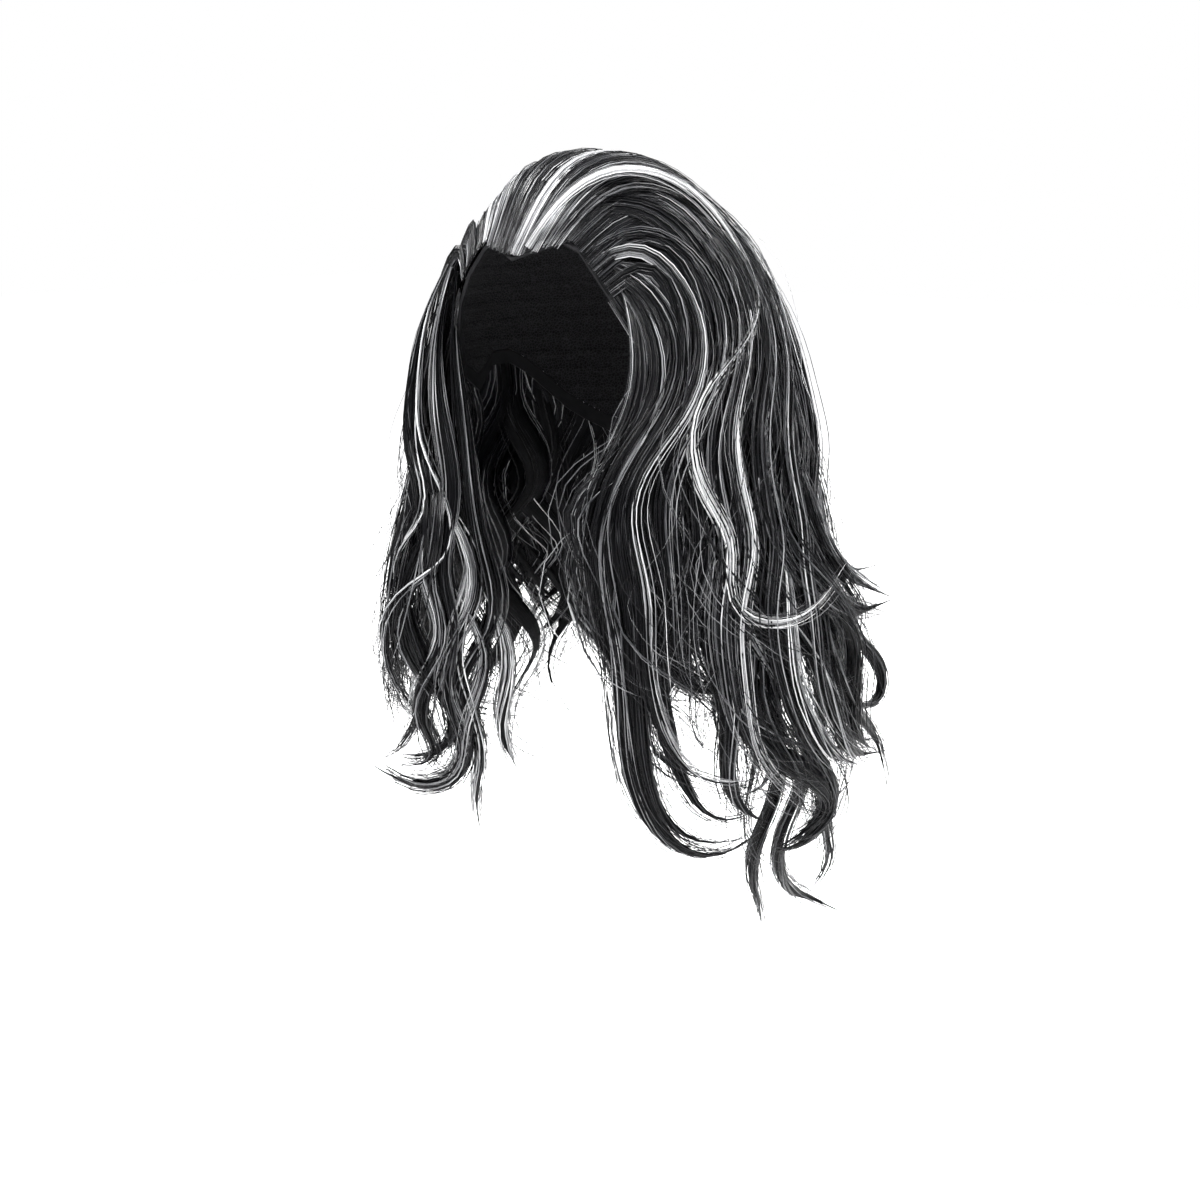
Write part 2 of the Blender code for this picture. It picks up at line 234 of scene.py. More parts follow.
# The top hair is knotted to the cap all over and combed back from the hairline, over the crown and
# down behind. Under the loose strands lies a dense combed layer, which is made here as one skin.
HEAD_HALF_WIDTH = 0.075
HEAD_HALF_DEPTH = 0.095
CROWN_RISE = 0.112
NAPE_TAPER = 0.135
RIM_DEPTH = 0.165
EXIT_DEPTH = 0.078
HAIR_DROP = 0.470
STAND_OFF = 0.077
FALL_THICKNESS = 0.030
CROWN_THICKNESS = 0.018
HAIRLINE_THICKNESS = 0.007
HAIR_LAY = 0.0027
ROOT_INSET = 0.8
FRONT_EDGE_AZIMUTH = 57.0
FALLS_SPAN = 360 - 2 * FRONT_EDGE_AZIMUTH

# Lower edge of the cap. Columns: azimuth in degrees, depth as a share of RIM_DEPTH
RIM = (
    (0, 0.25), (16, 0.215), (33, 0.205), (50, 0.37), (64, 0.56), (78, 0.75), (92, 0.65),
    (106, 0.69), (128, 0.86), (152, 0.96), (180, 1.0),
)

# Outer side of the hair. Columns: depth as a share of HAIR_DROP, stand-off as a share of STAND_OFF
SPREAD = (
    (0.14, 0.31), (0.20, 0.40), (0.27, 0.52), (0.33, 0.62), (0.40, 0.66), (0.46, 0.82),
    (0.53, 1.00), (0.60, 1.09), (0.66, 1.13), (0.73, 1.13), (0.80, 1.05), (0.88, 0.90),
    (1.00, 0.62),
)

# How full the hair stands round the head. Columns: azimuth in degrees, share of the stand-off
FULLNESS = (
    (0, 0.60), (50, 0.66), (90, 0.96), (124, 1.10), (160, 0.88), (180, 0.75), (234, 0.86),
    (270, 0.76), (306, 0.66), (360, 0.60),
)

# How the hair is combed back. Columns: place round the falls where a lock leaves the cap, azimuth
# of its root on the hairline
COMBED_FROM = (
    (0.00, 54), (0.05, 48), (0.10, 43), (0.155, 37), (0.20, 30), (0.27, 21), (0.35, 12), (0.44, 2),
    (0.56, -8), (0.70, -20), (0.80, -30), (0.88, -38), (0.94, -45), (1.00, -53),
)

# How far up the head a combed line rises before it turns, in degrees, and how much less it rises
# at the sides
COMBED_LIFT = 30
SIDE_LIFT_LOSS = 17

# How far back of its place a lock leaves the cap. Columns: place round the falls, degrees
SWEPT_BACK = (
    (0.00, 8), (0.06, 10), (0.13, 9), (0.22, 5), (0.32, 0), (0.80, 0), (0.90, -5), (1.00, -8),
)


def through(rows, column, place):
    """Smooth values of a table's column at places along its first column."""
    table = np.array(rows, float)
    x, y = table[:, 0], table[:, column]
    slope = np.empty(len(x))
    slope[1:-1] = (y[2:] - y[:-2]) / (x[2:] - x[:-2])
    slope[0], slope[-1] = (y[1] - y[0]) / (x[1] - x[0]), (y[-1] - y[-2]) / (x[-1] - x[-2])
    at = np.clip(np.asarray(place, float), x[0], x[-1])
    low = np.clip(np.searchsorted(x, at, side="right") - 1, 0, len(x) - 2)
    step = x[low + 1] - x[low]
    t = (at - x[low]) / step
    rise = slope[low] * step * t * (1 - t) ** 2 + slope[low + 1] * step * t * t * (t - 1)
    return y[low] * (1 + 2 * t) * (1 - t) ** 2 + y[low + 1] * t * t * (3 - 2 * t) + rise


def smooth(low, high, value):
    share = np.clip((value - low) / (high - low), 0, 1)
    return share * share * (3 - 2 * share)


def ripple(value, seed):
    """Soft random waves between about -1 and 1."""
    draw = np.random.default_rng(seed)
    pitches = (1.0, 1.7, 2.9, 4.3)
    waves = [np.sin(2 * pi * pitch * value + draw.uniform(0, 2 * pi)) for pitch in pitches]
    return sum(wave / (1 + i) for i, wave in enumerate(waves)) / 1.6


def spot(azimuth, radius, depth):
    turn = np.radians(azimuth)
    return np.stack([radius * np.sin(turn), -radius * np.cos(turn), -depth + 0 * turn], -1)


def azimuth_of(points):
    """Azimuth of points in degrees, from the front towards the wearer's left."""
    return np.degrees(np.arctan2(points[:, 0], -points[:, 1]))


def girth(azimuth):
    across = HEAD_HALF_DEPTH * np.sin(np.radians(azimuth))
    along = HEAD_HALF_WIDTH * np.cos(np.radians(azimuth))
    return HEAD_HALF_WIDTH * HEAD_HALF_DEPTH / np.hypot(across, along)


def polar_of(depth):
    above = CROWN_RISE - depth
    return np.degrees(np.arccos(above / np.where(above > 0, CROWN_RISE, NAPE_TAPER)))


def rim_depth(azimuth):
    return RIM_DEPTH * through(RIM, 1, np.abs((azimuth + 180) % 360 - 180))


def head_radius(azimuth, depth, offset):
    above = CROWN_RISE - depth
    rise = np.where(above > 0, CROWN_RISE + offset, NAPE_TAPER)
    return (girth(azimuth) + offset) * np.sqrt(np.clip(1 - (above / rise) ** 2, 0, 1))


def head_spot(azimuth, polar, offset):
    turn, angle = np.radians(azimuth), np.radians(polar)
    x = (HEAD_HALF_WIDTH + offset) * np.sin(angle) * np.sin(turn)
    y = -(HEAD_HALF_DEPTH + offset) * np.sin(angle) * np.cos(turn)
    return np.stack([x, y, (CROWN_RISE + offset) * np.cos(angle) - CROWN_RISE], -1)


def outer_radius(azimuth, depth):
    stand = STAND_OFF * through(SPREAD, 1, depth / HAIR_DROP)
    return girth(azimuth) + stand * through(FULLNESS, 1, azimuth % 360)


def top_thickness(azimuth, polar):
    edge_depth = np.minimum(rim_depth(azimuth), EXIT_DEPTH)
    side = outer_radius(azimuth, edge_depth) - head_radius(azimuth, edge_depth, 0)
    hangs = smooth(0.5, 0.95, edge_depth / EXIT_DEPTH)
    edge = HAIRLINE_THICKNESS + (side - HAIRLINE_THICKNESS) * hangs
    share = polar / polar_of(edge_depth)
    return CROWN_THICKNESS + (edge - CROWN_THICKNESS) * smooth(0.5, 1.0, share)


def exit_azimuth(place):
    return FRONT_EDGE_AZIMUTH + FALLS_SPAN * place


def leaving(place):
    """The place round the falls at which the hair of a place leaves the cap."""
    return place + float(through(SWEPT_BACK, 1, place)) / FALLS_SPAN


def combed_path(place, shares):
    """Azimuth and polar angle along a combed line, from the hairline at 0 to the falls at 1."""
    leaves = exit_azimuth(place)
    root = float(through(COMBED_FROM, 1, place))
    marks = []
    for azimuth, depth, inset in ((root, rim_depth(root), ROOT_INSET), (leaves, EXIT_DEPTH, 0)):
        turn = np.array([sin(radians(azimuth)), -cos(radians(azimuth))])
        marks.append((polar_of(depth) - inset) * turn)
    start, end = marks
    inner = abs(2 * place - 1)
    lift = COMBED_LIFT - SIDE_LIFT_LOSS * inner**4
    bend = [start + np.array([0.12 * lift * np.sign(root), lift]), end * (0.52 + 0.28 * inner**6)]
    t = shares[:, None]
    at = start * (1 - t) ** 3 + 3 * bend[0] * t * (1 - t) ** 2
    at = at + 3 * bend[1] * t * t * (1 - t) + end * t**3
    return azimuth_of(at), np.hypot(at[:, 0], at[:, 1])


def combed_line(place, begins, layer, count):
    """Points of a combed line over the crown, which rises off the cap within a short way."""
    shares = begins + (1 - begins) * np.linspace(0, 1, count)
    azimuth, polar = combed_path(place, shares)
    within = min(0.30 + 0.40 * abs(2 * place - 1) ** 6, 1 - begins)
    rise = 0.12 + 0.88 * smooth(0, within, shares - begins)
    lay = HAIR_LAY + layer * rise * top_thickness(azimuth, polar)
    return head_spot(azimuth, polar, lay)


def skin_between(name, outer, inner, finish):
    """Closed skin between two grids of points."""
    rows, columns = outer.shape[:2]
    spots = np.concatenate([outer.reshape(-1, 3), inner.reshape(-1, 3)])
    under = rows * columns
    faces = []
    for i in range(rows - 1):
        for j in range(columns - 1):
            a, b = i * columns + j, (i + 1) * columns + j
            faces.append((a, b, b + 1, a + 1))
            faces.append((under + a, under + a + 1, under + b + 1, under + b))
    rim = [(0, j) for j in range(columns)] + [(i, columns - 1) for i in range(1, rows)]
    rim += [(rows - 1, j) for j in range(columns - 2, -1, -1)]
    rim += [(i, 0) for i in range(rows - 2, 0, -1)]
    loop = [i * columns + j for i, j in rim]
    for a, b in zip(loop, loop[1:] + loop[:1]):
        faces.append((a, b, under + b, under + a))
    mesh = bpy.data.meshes.new(name)
    mesh.from_pydata(spots.tolist(), [], faces)
    mesh.shade_smooth()
    mesh.materials.append(finish)
    return placed(name, mesh)


def keep_values(mesh, name, values, kind="FLOAT"):
    """Stores one value for each vertex under a name."""
    layer = mesh.attributes.new(name, kind, "POINT")
    layer.data.foreach_set("vector" if kind == "FLOAT_VECTOR" else "value", np.ravel(values))


HAIR_TONES = (
    (0.00, (0.0025, 0.0026, 0.0032, 1)),
    (0.22, (0.0080, 0.0082, 0.0095, 1)),
    (0.40, (0.045, 0.046, 0.050, 1)),
    (0.58, (0.200, 0.202, 0.210, 1)),
    (0.78, (0.520, 0.525, 0.535, 1)),
    (1.00, (0.900, 0.900, 0.905, 1)),
)
HAIR_GLOSS_LEVEL = 0.20
UNDER_GLOSS_LEVEL = 0.07
COMBED_LIGHTEST = 0.62


def tone_ramp(tree, tone):
    ramp = add(tree, "ShaderNodeValToRGB", {"Fac": tone})
    while len(ramp.color_ramp.elements) < len(HAIR_TONES):
        ramp.color_ramp.elements.new(0.5)
    for element, (position, colour) in zip(ramp.color_ramp.elements, HAIR_TONES):
        element.position = position
        element.color = colour
    return ramp.outputs["Color"]


def combed_finish():
    """Dense combed hair: fine lines along the grain, black, in darker and lighter groups."""
    made, tree, shader = new_finish("combed_hair", 0.36, UNDER_GLOSS_LEVEL)
    grain = add(tree, "ShaderNodeAttribute", attribute_name="grain").outputs["Vector"]
    lines = {"Vector": grain, "Scale": 1.0, "Detail": 4.0, "Roughness": 0.72}
    fine = add(tree, "ShaderNodeTexNoise", lines).outputs["Fac"]
    wide = add(tree, "ShaderNodeMapping", {"Vector": grain, "Scale": (0.06, 0.35, 1.0)})
    groups = add(tree, "ShaderNodeTexNoise", {"Vector": wide.outputs[0], "Scale": 1.0})
    lightest = map_range(
        tree, groups.outputs["Fac"], 0.46, 0.66, 0.5 * COMBED_LIGHTEST, COMBED_LIGHTEST
    )
    tone = map_range(tree, fine, 0.50, 0.68, 0.0, lightest)
    tree.links.new(tone_ramp(tree, tone), shader.inputs["Base Color"])
    emboss(tree, shader, fine, 0.9, 0.0010)
    return made


COMBED = combed_finish()
SKIN_COLUMNS = 260
SKIN_ROWS = 22


def build_top_skin():
    places = np.linspace(0.0, 1.0, SKIN_COLUMNS)
    lines, under = [], []
    for place in places:
        layer = 0.42 + 0.08 * ripple(place * 11, 3) + 0.04 * ripple(place * 47, 4)
        layer *= 1 - 0.65 * abs(2 * place - 1) ** 10
        lines.append(combed_line(leaving(place), 0.0, layer, SKIN_ROWS))
        under.append(combed_line(leaving(place), 0.0, 0.6 * layer, SKIN_ROWS))
    outer, inner = np.stack(lines, 1), np.stack(under, 1)
    made = skin_between("top_skin", outer, inner, COMBED)
    across = np.broadcast_to(places * 900, (SKIN_ROWS, SKIN_COLUMNS))
    along = np.broadcast_to(np.linspace(0, 3, SKIN_ROWS)[:, None], across.shape)
    grain = np.stack([across, along, 0 * across], -1).reshape(-1, 3)
    keep_values(made.data, "grain", np.concatenate([grain, grain]), "FLOAT_VECTOR")
    return made


top_skin = build_top_skin()
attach(top_skin, "root")
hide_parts("top_hair")


# Each fall is a thick hank of long hair that leaves the cap below the crown and hangs in loose S
# waves. It has a dense curtain inside, soft round locks on it and hundreds of fine strands. The
# locks are shorter on the outside and flip out at their tips.
WAVE_LENGTH = 0.118
WAVE_CREST_DEPTH = 0.200
WAVE_SWING = 0.018
WAVE_SWELL = 0.004
OFF_HEAD = 0.004

# Front edges. Columns: depth as a share of HAIR_DROP, forward turn in degrees of the wearer's left
# edge, and of the right edge
FRONT_EDGES = (
    (0.14, 0, 0), (0.24, 4, 2), (0.30, 10, 3), (0.35, 15, 4), (0.42, 18, 6), (0.53, 18, 8),
    (0.60, 13, 8), (0.70, 10, 6), (0.80, 5, 4), (1.00, 0, 0),
)

# Columns: name, where the fall begins and ends round the head, depth of its curtain and of the
# shallowest and deepest tips of its locks as shares of HAIR_DROP, then how far the tips hook round
# the head and flip outward, least and most in degrees
FALLS = (
    ("fall_left_temple", 0.00, 0.13, 0.50, 0.60, 0.86, 60, 190, -5, 25),
    ("fall_left_side", 0.13, 0.27, 0.52, 0.52, 0.90, 40, 190, 15, 70),
    ("fall_left_back", 0.27, 0.42, 0.58, 0.52, 0.98, -60, 180, 30, 100),
    ("fall_back", 0.42, 0.58, 0.62, 0.66, 0.98, -160, 160, 0, 50),
    ("fall_right_back", 0.58, 0.73, 0.60, 0.62, 0.98, -180, 60, 10, 80),
    ("fall_right_side", 0.73, 0.87, 0.56, 0.58, 0.94, -190, -30, 20, 80),
    ("fall_right_temple", 0.87, 1.00, 0.52, 0.56, 0.84, -190, -40, 10, 80),
)


def fall_azimuth(place, depth):
    share = depth / HAIR_DROP
    left = through(FRONT_EDGES, 1, share) * (1 - place) ** 3
    return exit_azimuth(place) - left + through(FRONT_EDGES, 2, share) * place**3


def swept_back(place, depth):
    return through(SWEPT_BACK, 1, place) * (1 - smooth(EXIT_DEPTH, 0.165, depth))


def wave_growth(depth):
    return smooth(EXIT_DEPTH, 0.8 * WAVE_CREST_DEPTH, depth) + 0.5 * smooth(0.20, 0.40, depth)


class Wave:
    """How one lock waves: its swing, phase and length against those of the whole fall."""

    def __init__(self, swing=1.0, phase=0.0, length=1.0):
        self.swing, self.phase, self.length = swing, phase, length

    def at(self, place, depth):
        turns = (depth - WAVE_CREST_DEPTH) / (WAVE_LENGTH * self.length)
        return 2 * pi * turns + pi * place + self.phase

    def aside(self, place, depth):
        swing = WAVE_SWING * self.swing * wave_growth(depth)
        return -swing * np.cos(self.at(place, depth))

    def swell(self, place, depth):
        return WAVE_SWELL * self.swing * wave_growth(depth) * np.sin(self.at(place, depth))

    def slope(self, place, depth):
        step = 0.002
        return (self.aside(place, depth + step) - self.aside(place, depth)) / step


def fall_spot(place, depth, layer, wave, aside=0.0, out=0.0):
    """A spot of a fall: layer 0 is its inner side and 1 its outer side."""
    azimuth = fall_azimuth(place, depth) + swept_back(place, depth)
    outer = outer_radius(azimuth, depth) + wave.swell(place, depth)
    thick = np.minimum(outer - head_radius(azimuth, depth, OFF_HEAD), FALL_THICKNESS)
    radius = outer - (1 - layer) * thick
    azimuth = azimuth + np.degrees((wave.aside(place, depth) + aside) / radius)
    return spot(azimuth, radius + out, depth)


CURL_BEGINS = 0.73


def fall_line(place, layer, tip, wave, hook=0, flip=0, lean=0, pitch=0.0105, begins=EXIT_DEPTH):
    """Points down a lock from the cap to its tip, which curls sideways and flips outward."""
    drop = tip - begins
    length = drop * (1 + 0.17 * (abs(radians(hook)) + abs(radians(flip))) / 2)
    steps = max(6, round(length / pitch))
    stride = length / steps
    depth, aside, out = begins, 0.0, 0.0
    found = []
    for step in range(steps + 1):
        share = step / steps
        found.append(fall_spot(place, depth, layer, wave, aside, out))
        curled = max(0.0, (share - CURL_BEGINS) / (1 - CURL_BEGINS))
        turned, lifted = radians(hook) * curled, radians(flip) * curled
        aside += stride * (lean + sin(turned) * cos(lifted))
        out += stride * sin(lifted)
        fallen = stride * cos(turned) * cos(lifted)
        depth += fallen / float(np.hypot(1, wave.slope(place, depth)))
    return np.array(found)


# Where curls are held in, and the share that is left of what stands past it
REACH_PAST = 0.020
FRONT_REACH = -0.087
DEEPEST = -0.462
KEPT_PAST = 0.3


def held_in(points):
    """The points drawn back softly where a curl would stand too far out or too far forward."""
    radius = np.hypot(points[:, 0], points[:, 1])
    azimuth = azimuth_of(points) % 360
    reach = girth(azimuth) + STAND_OFF * through(FULLNESS, 1, azimuth) + REACH_PAST
    back = np.where(radius > reach, reach + KEPT_PAST * (radius - reach), radius) / radius
    points[:, :2] *= back[:, None]
    points[:, 2] = np.maximum(points[:, 2], DEEPEST + KEPT_PAST * (points[:, 2] - DEEPEST))
    ahead = points[:, 1] < FRONT_REACH
    points[ahead, 1] = FRONT_REACH + KEPT_PAST * (points[ahead, 1] - FRONT_REACH)
    return points


def eased(points, rounds):
    """The points with each inner one moved towards its neighbours."""
    for _ in range(rounds):
        points[1:-1] = 0.5 * points[1:-1] + 0.25 * (points[2:] + points[:-2])
    return points


def frames_of(points, outward_at):
    """Unit vectors across and outward along a line, which turn as little as they can."""
    along = np.gradient(points, axis=0)
    along /= np.linalg.norm(along, axis=1)[:, None]
    across = np.empty_like(points)
    side = np.cross(along[0], outward_at)
    for i, ahead in enumerate(along):
        side = side - ahead * (side @ ahead)
        side = side / np.linalg.norm(side)
        across[i] = side
    return across, np.cross(across, along)


def gone_along(points):
    """How far along their line the points lie."""
    return np.concatenate([[0], np.cumsum(np.linalg.norm(np.diff(points, axis=0), axis=1))])


def evened(points, pitch, rounds):
    """Points at even steps along the same line, eased."""
    gone = gone_along(points)
    at = np.linspace(0, gone[-1], max(6, round(gone[-1] / pitch)))
    rows = np.column_stack([gone, points])
    return eased(np.stack([through(rows, column, at) for column in (1, 2, 3)], -1), rounds)


# Even steps along the lines of hanging and of loose locks, and rounds of easing
HANGING_PITCH, HANGING_ROUNDS = 0.0118, 4
LOOSE_PITCH, LOOSE_ROUNDS = 0.0095, 6


class Lock:
    """One lock of hair: its line from root to tip, and how wide, thick, light and full it is."""

    # Share of the width left at the tip, how far the strands wander and how broad they are, the
    # length of the shortest strand, and where the soft body ends
    end, loose, slim, even, solid = 0.36, 1.0, 1.0, 0.84, 0.80

    def __init__(self, points, width, depth, strands, streak, bright, **other):
        self.strands, self.streak, self.bright = strands, streak, bright
        vars(self).update(other)
        self.points = points
        centre = np.array([0, 0, min(points[0][2], -0.5 * CROWN_RISE)])
        across, outward = frames_of(points, points[0] - centre)
        gone = gone_along(points)
        self.length = gone[-1]
        self.share = gone / gone[-1]
        taper = 1 - (1 - self.end) * smooth(0.66, 1.0, self.share)
        broad = 0.50 + 0.50 * smooth(0.0, 0.30, self.share)
        deep = 0.10 + 0.90 * smooth(0.0, 0.30, self.share)
        self.across = across * (width / 2 * broad * taper)[:, None]
        self.outward = outward * (depth / 2 * deep * taper)[:, None]


def hanging_lock(place, begins, layer, tip, wave, turns, crown_points, **kind):
    crown = combed_line(leaving(place), begins, layer, crown_points)
    fall = fall_line(place, layer, tip, wave, *turns)
    points = held_in(np.concatenate([crown[:-1], fall]))
    return Lock(evened(points, HANGING_PITCH, HANGING_ROUNDS), **kind)


def strand_tree():
    """Geometry nodes that lay fine strands along each lock's line."""
    tree = bpy.data.node_groups.new("strands", "GeometryNodeTree")
    kinds = {"Geometry": "Geometry", "Cells": "Int", "Seed": "Int", "Finish": "Material"}
    for name in ("Geometry", "Strand Half Width", "Wander", "Twist", "Cells", "Seed", "Finish"):
        kind = "NodeSocket" + kinds.get(name, "Float")
        tree.interface.new_socket(name, in_out="INPUT", socket_type=kind)
    tree.interface.new_socket("Geometry", in_out="OUTPUT", socket_type="NodeSocketGeometry")
    given = add(tree, "NodeGroupInput").outputs
    work, mapped = partial(math_node, tree), partial(map_range, tree)
    times, plus = partial(work, "MULTIPLY"), partial(work, "ADD")

    def value(name, kind="FLOAT"):
        named = add(tree, "GeometryNodeInputNamedAttribute", {"Name": name}, data_type=kind)
        return named.outputs["Attribute"]

    def vectors(operation, a, b, key=1):
        return add(tree, "ShaderNodeVectorMath", {0: a, key: b}, operation=operation).outputs[0]

    def chance(number, low=0.0, high=1.0):
        made = add(tree, "FunctionNodeRandomValue", data_type="FLOAT")
        sockets = {socket.identifier: socket for socket in made.inputs}
        sockets["Min_001"].default_value = low
        sockets["Max_001"].default_value = high
        tree.links.new(value("strand"), sockets["ID"])
        tree.links.new(plus(given["Seed"], float(number)), sockets["Seed"])
        return made.outputs[1]

    def keep(geometry, name, what, domain="POINT", kind="FLOAT"):
        inputs = {"Geometry": geometry, "Name": name, "Value": what}
        settings = {"domain": domain, "data_type": kind}
        return add(tree, "GeometryNodeStoreNamedAttribute", inputs, **settings).outputs[0]

    # Copies of each lock's line, one for each strand
    lines = add(tree, "GeometryNodeMeshToCurve", {"Mesh": given["Geometry"]}).outputs[0]
    many = {"Geometry": lines, "Amount": value("strands")}
    copies = add(tree, "GeometryNodeDuplicateElements", many, domain="SPLINE")
    index = add(tree, "GeometryNodeInputIndex").outputs[0]
    hair = keep(copies.outputs[0], "strand", index, "CURVE")
    hair = keep(hair, "copy", copies.outputs["Duplicate Index"], "CURVE")

    # Each strand's place round the lock's line, a few of them well outside it
    down = add(tree, "GeometryNodeSplineParameter").outputs["Factor"]
    turn_share = work("DIVIDE", plus(value("copy"), chance(1)), value("strands"))
    turn = work("MULTIPLY_ADD", turn_share, 2 * pi, times(down, given["Twist"]))
    stray = times(work("POWER", chance(8), 7.0), mapped(down, 0.15, 0.6, 0.2, 1.6))
    reach = plus(work("MULTIPLY_ADD", work("POWER", chance(2), 0.6), 0.75, 0.35), stray)
    shifts = []
    for way, turned in (("across", "SINE"), ("outward", "COSINE")):
        share = times(reach, work(turned, turn))
        shifts.append(vectors("SCALE", value(way, "FLOAT_VECTOR"), share, "Scale"))
    facing = vectors("ADD", *shifts)

    # Its own wandering, which grows towards the tip
    places = times(chance(3), 1.3), times(down, 3.2)
    seat = {0: places[0], 1: places[1], 2: times(value("lock"), 5.7)}
    seat = add(tree, "ShaderNodeCombineXYZ", seat).outputs[0]
    waves = add(tree, "ShaderNodeTexNoise", {"Vector": seat, "Scale": 1.0, "Detail": 1.5})
    centred = vectors("SUBTRACT", waves.outputs["Color"], (0.5, 0.5, 0.5))
    growing = mapped(down, 0.03, 1.0, 0.12, 1.9)
    reach_out = times(times(given["Wander"], growing), value("loose"))
    offset = vectors("ADD", facing, vectors("SCALE", centred, reach_out, "Scale"))
    moved = {"Geometry": hair, "Offset": offset}
    hair = add(tree, "GeometryNodeSetPosition", moved).outputs[0]

    # Its tone: light strands lie side by side, and some dark ones turn grey towards the tip
    light_at = work("FRACT", work("MULTIPLY_ADD", value("lock"), 0.37, turn_share))
    light = work("LESS_THAN", light_at, value("streak"))
    pale = times(mapped(chance(5), 0.0, 1.0, 0.56, 1.06), value("bright"))
    dark = times(work("POWER", chance(6), 2.6), 0.66)
    tone = add(tree, "ShaderNodeMix", {0: light, 2: dark, 3: pale}).outputs[0]
    faded = times(work("POWER", chance(9), 2.0), mapped(down, 0.45, 0.95, 0.0, 0.34))
    hair = keep(hair, "tone", work("MAXIMUM", tone, faded))

    # Its length, the way it faces and its width, which narrows to the tip
    hair = keep(hair, "normal_of", facing, "POINT", "FLOAT_VECTOR")
    hair = keep(hair, "ends_at", mapped(chance(4), 0, 1, value("even"), 1.0), "CURVE")
    cut = {"Curve": hair, "End": value("ends_at")}
    hair = add(tree, "GeometryNodeTrimCurve", cut, mode="FACTOR").outputs[0]
    turned = {"Curve": hair, "Normal": value("normal_of", "FLOAT_VECTOR")}
    hair = add(tree, "GeometryNodeSetCurveNormal", turned, mode="FREE").outputs[0]
    left = add(tree, "GeometryNodeSplineParameter").outputs["Factor"]
    hair = keep(hair, "along", left)
    thin = times(mapped(left, 0.0, 0.06, 0.5, 1.0), mapped(left, 0.70, 1.0, 1.0, 0.28))
    broad = times(times(given["Strand Half Width"], value("slim")), thin)
    broad = times(broad, chance(7, 0.55, 1.45))

    # The flat tube along it, with a cell of its own in the map for baking
    ring = add(tree, "GeometryNodeCurvePrimitiveCircle", {"Resolution": 3, "Radius": 1.0})
    flat = {"Geometry": ring.outputs[0], "Scale": (0.42, 1.0, 1.0)}
    ring = add(tree, "GeometryNodeTransform", flat).outputs[0]
    ring = keep(ring, "side", times(index, 0.5))
    tube = {"Curve": hair, "Profile Curve": ring, "Scale": broad, "Fill Caps": True}
    tubes = add(tree, "GeometryNodeCurveToMesh", tube).outputs[0]
    column = work("MODULO", value("strand"), given["Cells"])
    row = work("FLOOR", work("DIVIDE", value("strand"), given["Cells"]))
    across = plus(column, mapped(value("side"), 0, 1, 0.15, 0.85))
    upward = plus(row, mapped(value("along"), 0, 1, 0.1, 0.9))
    cell = {i: work("DIVIDE", at, given["Cells"]) for i, at in enumerate((across, upward))}
    cell = add(tree, "ShaderNodeCombineXYZ", cell).outputs[0]
    tubes = keep(tubes, "OFBake", cell, "CORNER", "FLOAT2")
    tubes = add(tree, "GeometryNodeSetShadeSmooth", {"Geometry": tubes}).outputs[0]
    whole = add(tree, "GeometryNodeRealizeInstances", {"Geometry": tubes}).outputs[0]
    dressed = {"Geometry": whole, "Material": given["Finish"]}
    whole = add(tree, "GeometryNodeSetMaterial", dressed).outputs[0]
    add(tree, "NodeGroupOutput", {"Geometry": whole})
    return tree


def strand_finish():
    """Shiny synthetic fibre, black to white. A strand is a few fibres wide, with one tone, and
    lighter lines along it are painted highlights that stand in for the fibres' sheen.
    """
    made, tree, shader = new_finish("hair_strands", 0.34, HAIR_GLOSS_LEVEL)
    work, mapped = partial(math_node, tree), partial(map_range, tree)
    tone, side, along, strand = [
        add(tree, "ShaderNodeAttribute", attribute_name=name).outputs["Fac"]
        for name in ("tone", "side", "along", "strand")
    ]
    across = work("MULTIPLY_ADD", strand, 7.13, work("MULTIPLY", side, 4.5))
    seat = add(tree, "ShaderNodeCombineXYZ", {0: across, 1: work("MULTIPLY", along, 7.0)})
    lines = {"Vector": seat.outputs[0], "Scale": 1.0, "Detail": 2.0, "Roughness": 0.6}
    fibres = add(tree, "ShaderNodeTexNoise", lines).outputs["Fac"]
    # uneven varies the fibres' tone at random; stray adds painted highlights, lighter lines on
    # dark fibres that stand in for their sheen under the lamps
    uneven, stray = mapped(fibres, 0.34, 0.66, 0.50, 1.20), mapped(fibres, 0.60, 0.74, 0.0, 0.30)
    tone_and_painted_highlights = work("MULTIPLY_ADD", tone, uneven, stray)
    tree.links.new(tone_ramp(tree, tone_and_painted_highlights), shader.inputs["Base Color"])
    tree.links.new(mapped(fibres, 0.3, 0.7, 0.20, 0.38), shader.inputs["Roughness"])
    emboss(tree, shader, fibres, 0.7, 0.0004)
    return made


STRAND_TREE = strand_tree()
STRAND_FINISH = strand_finish()


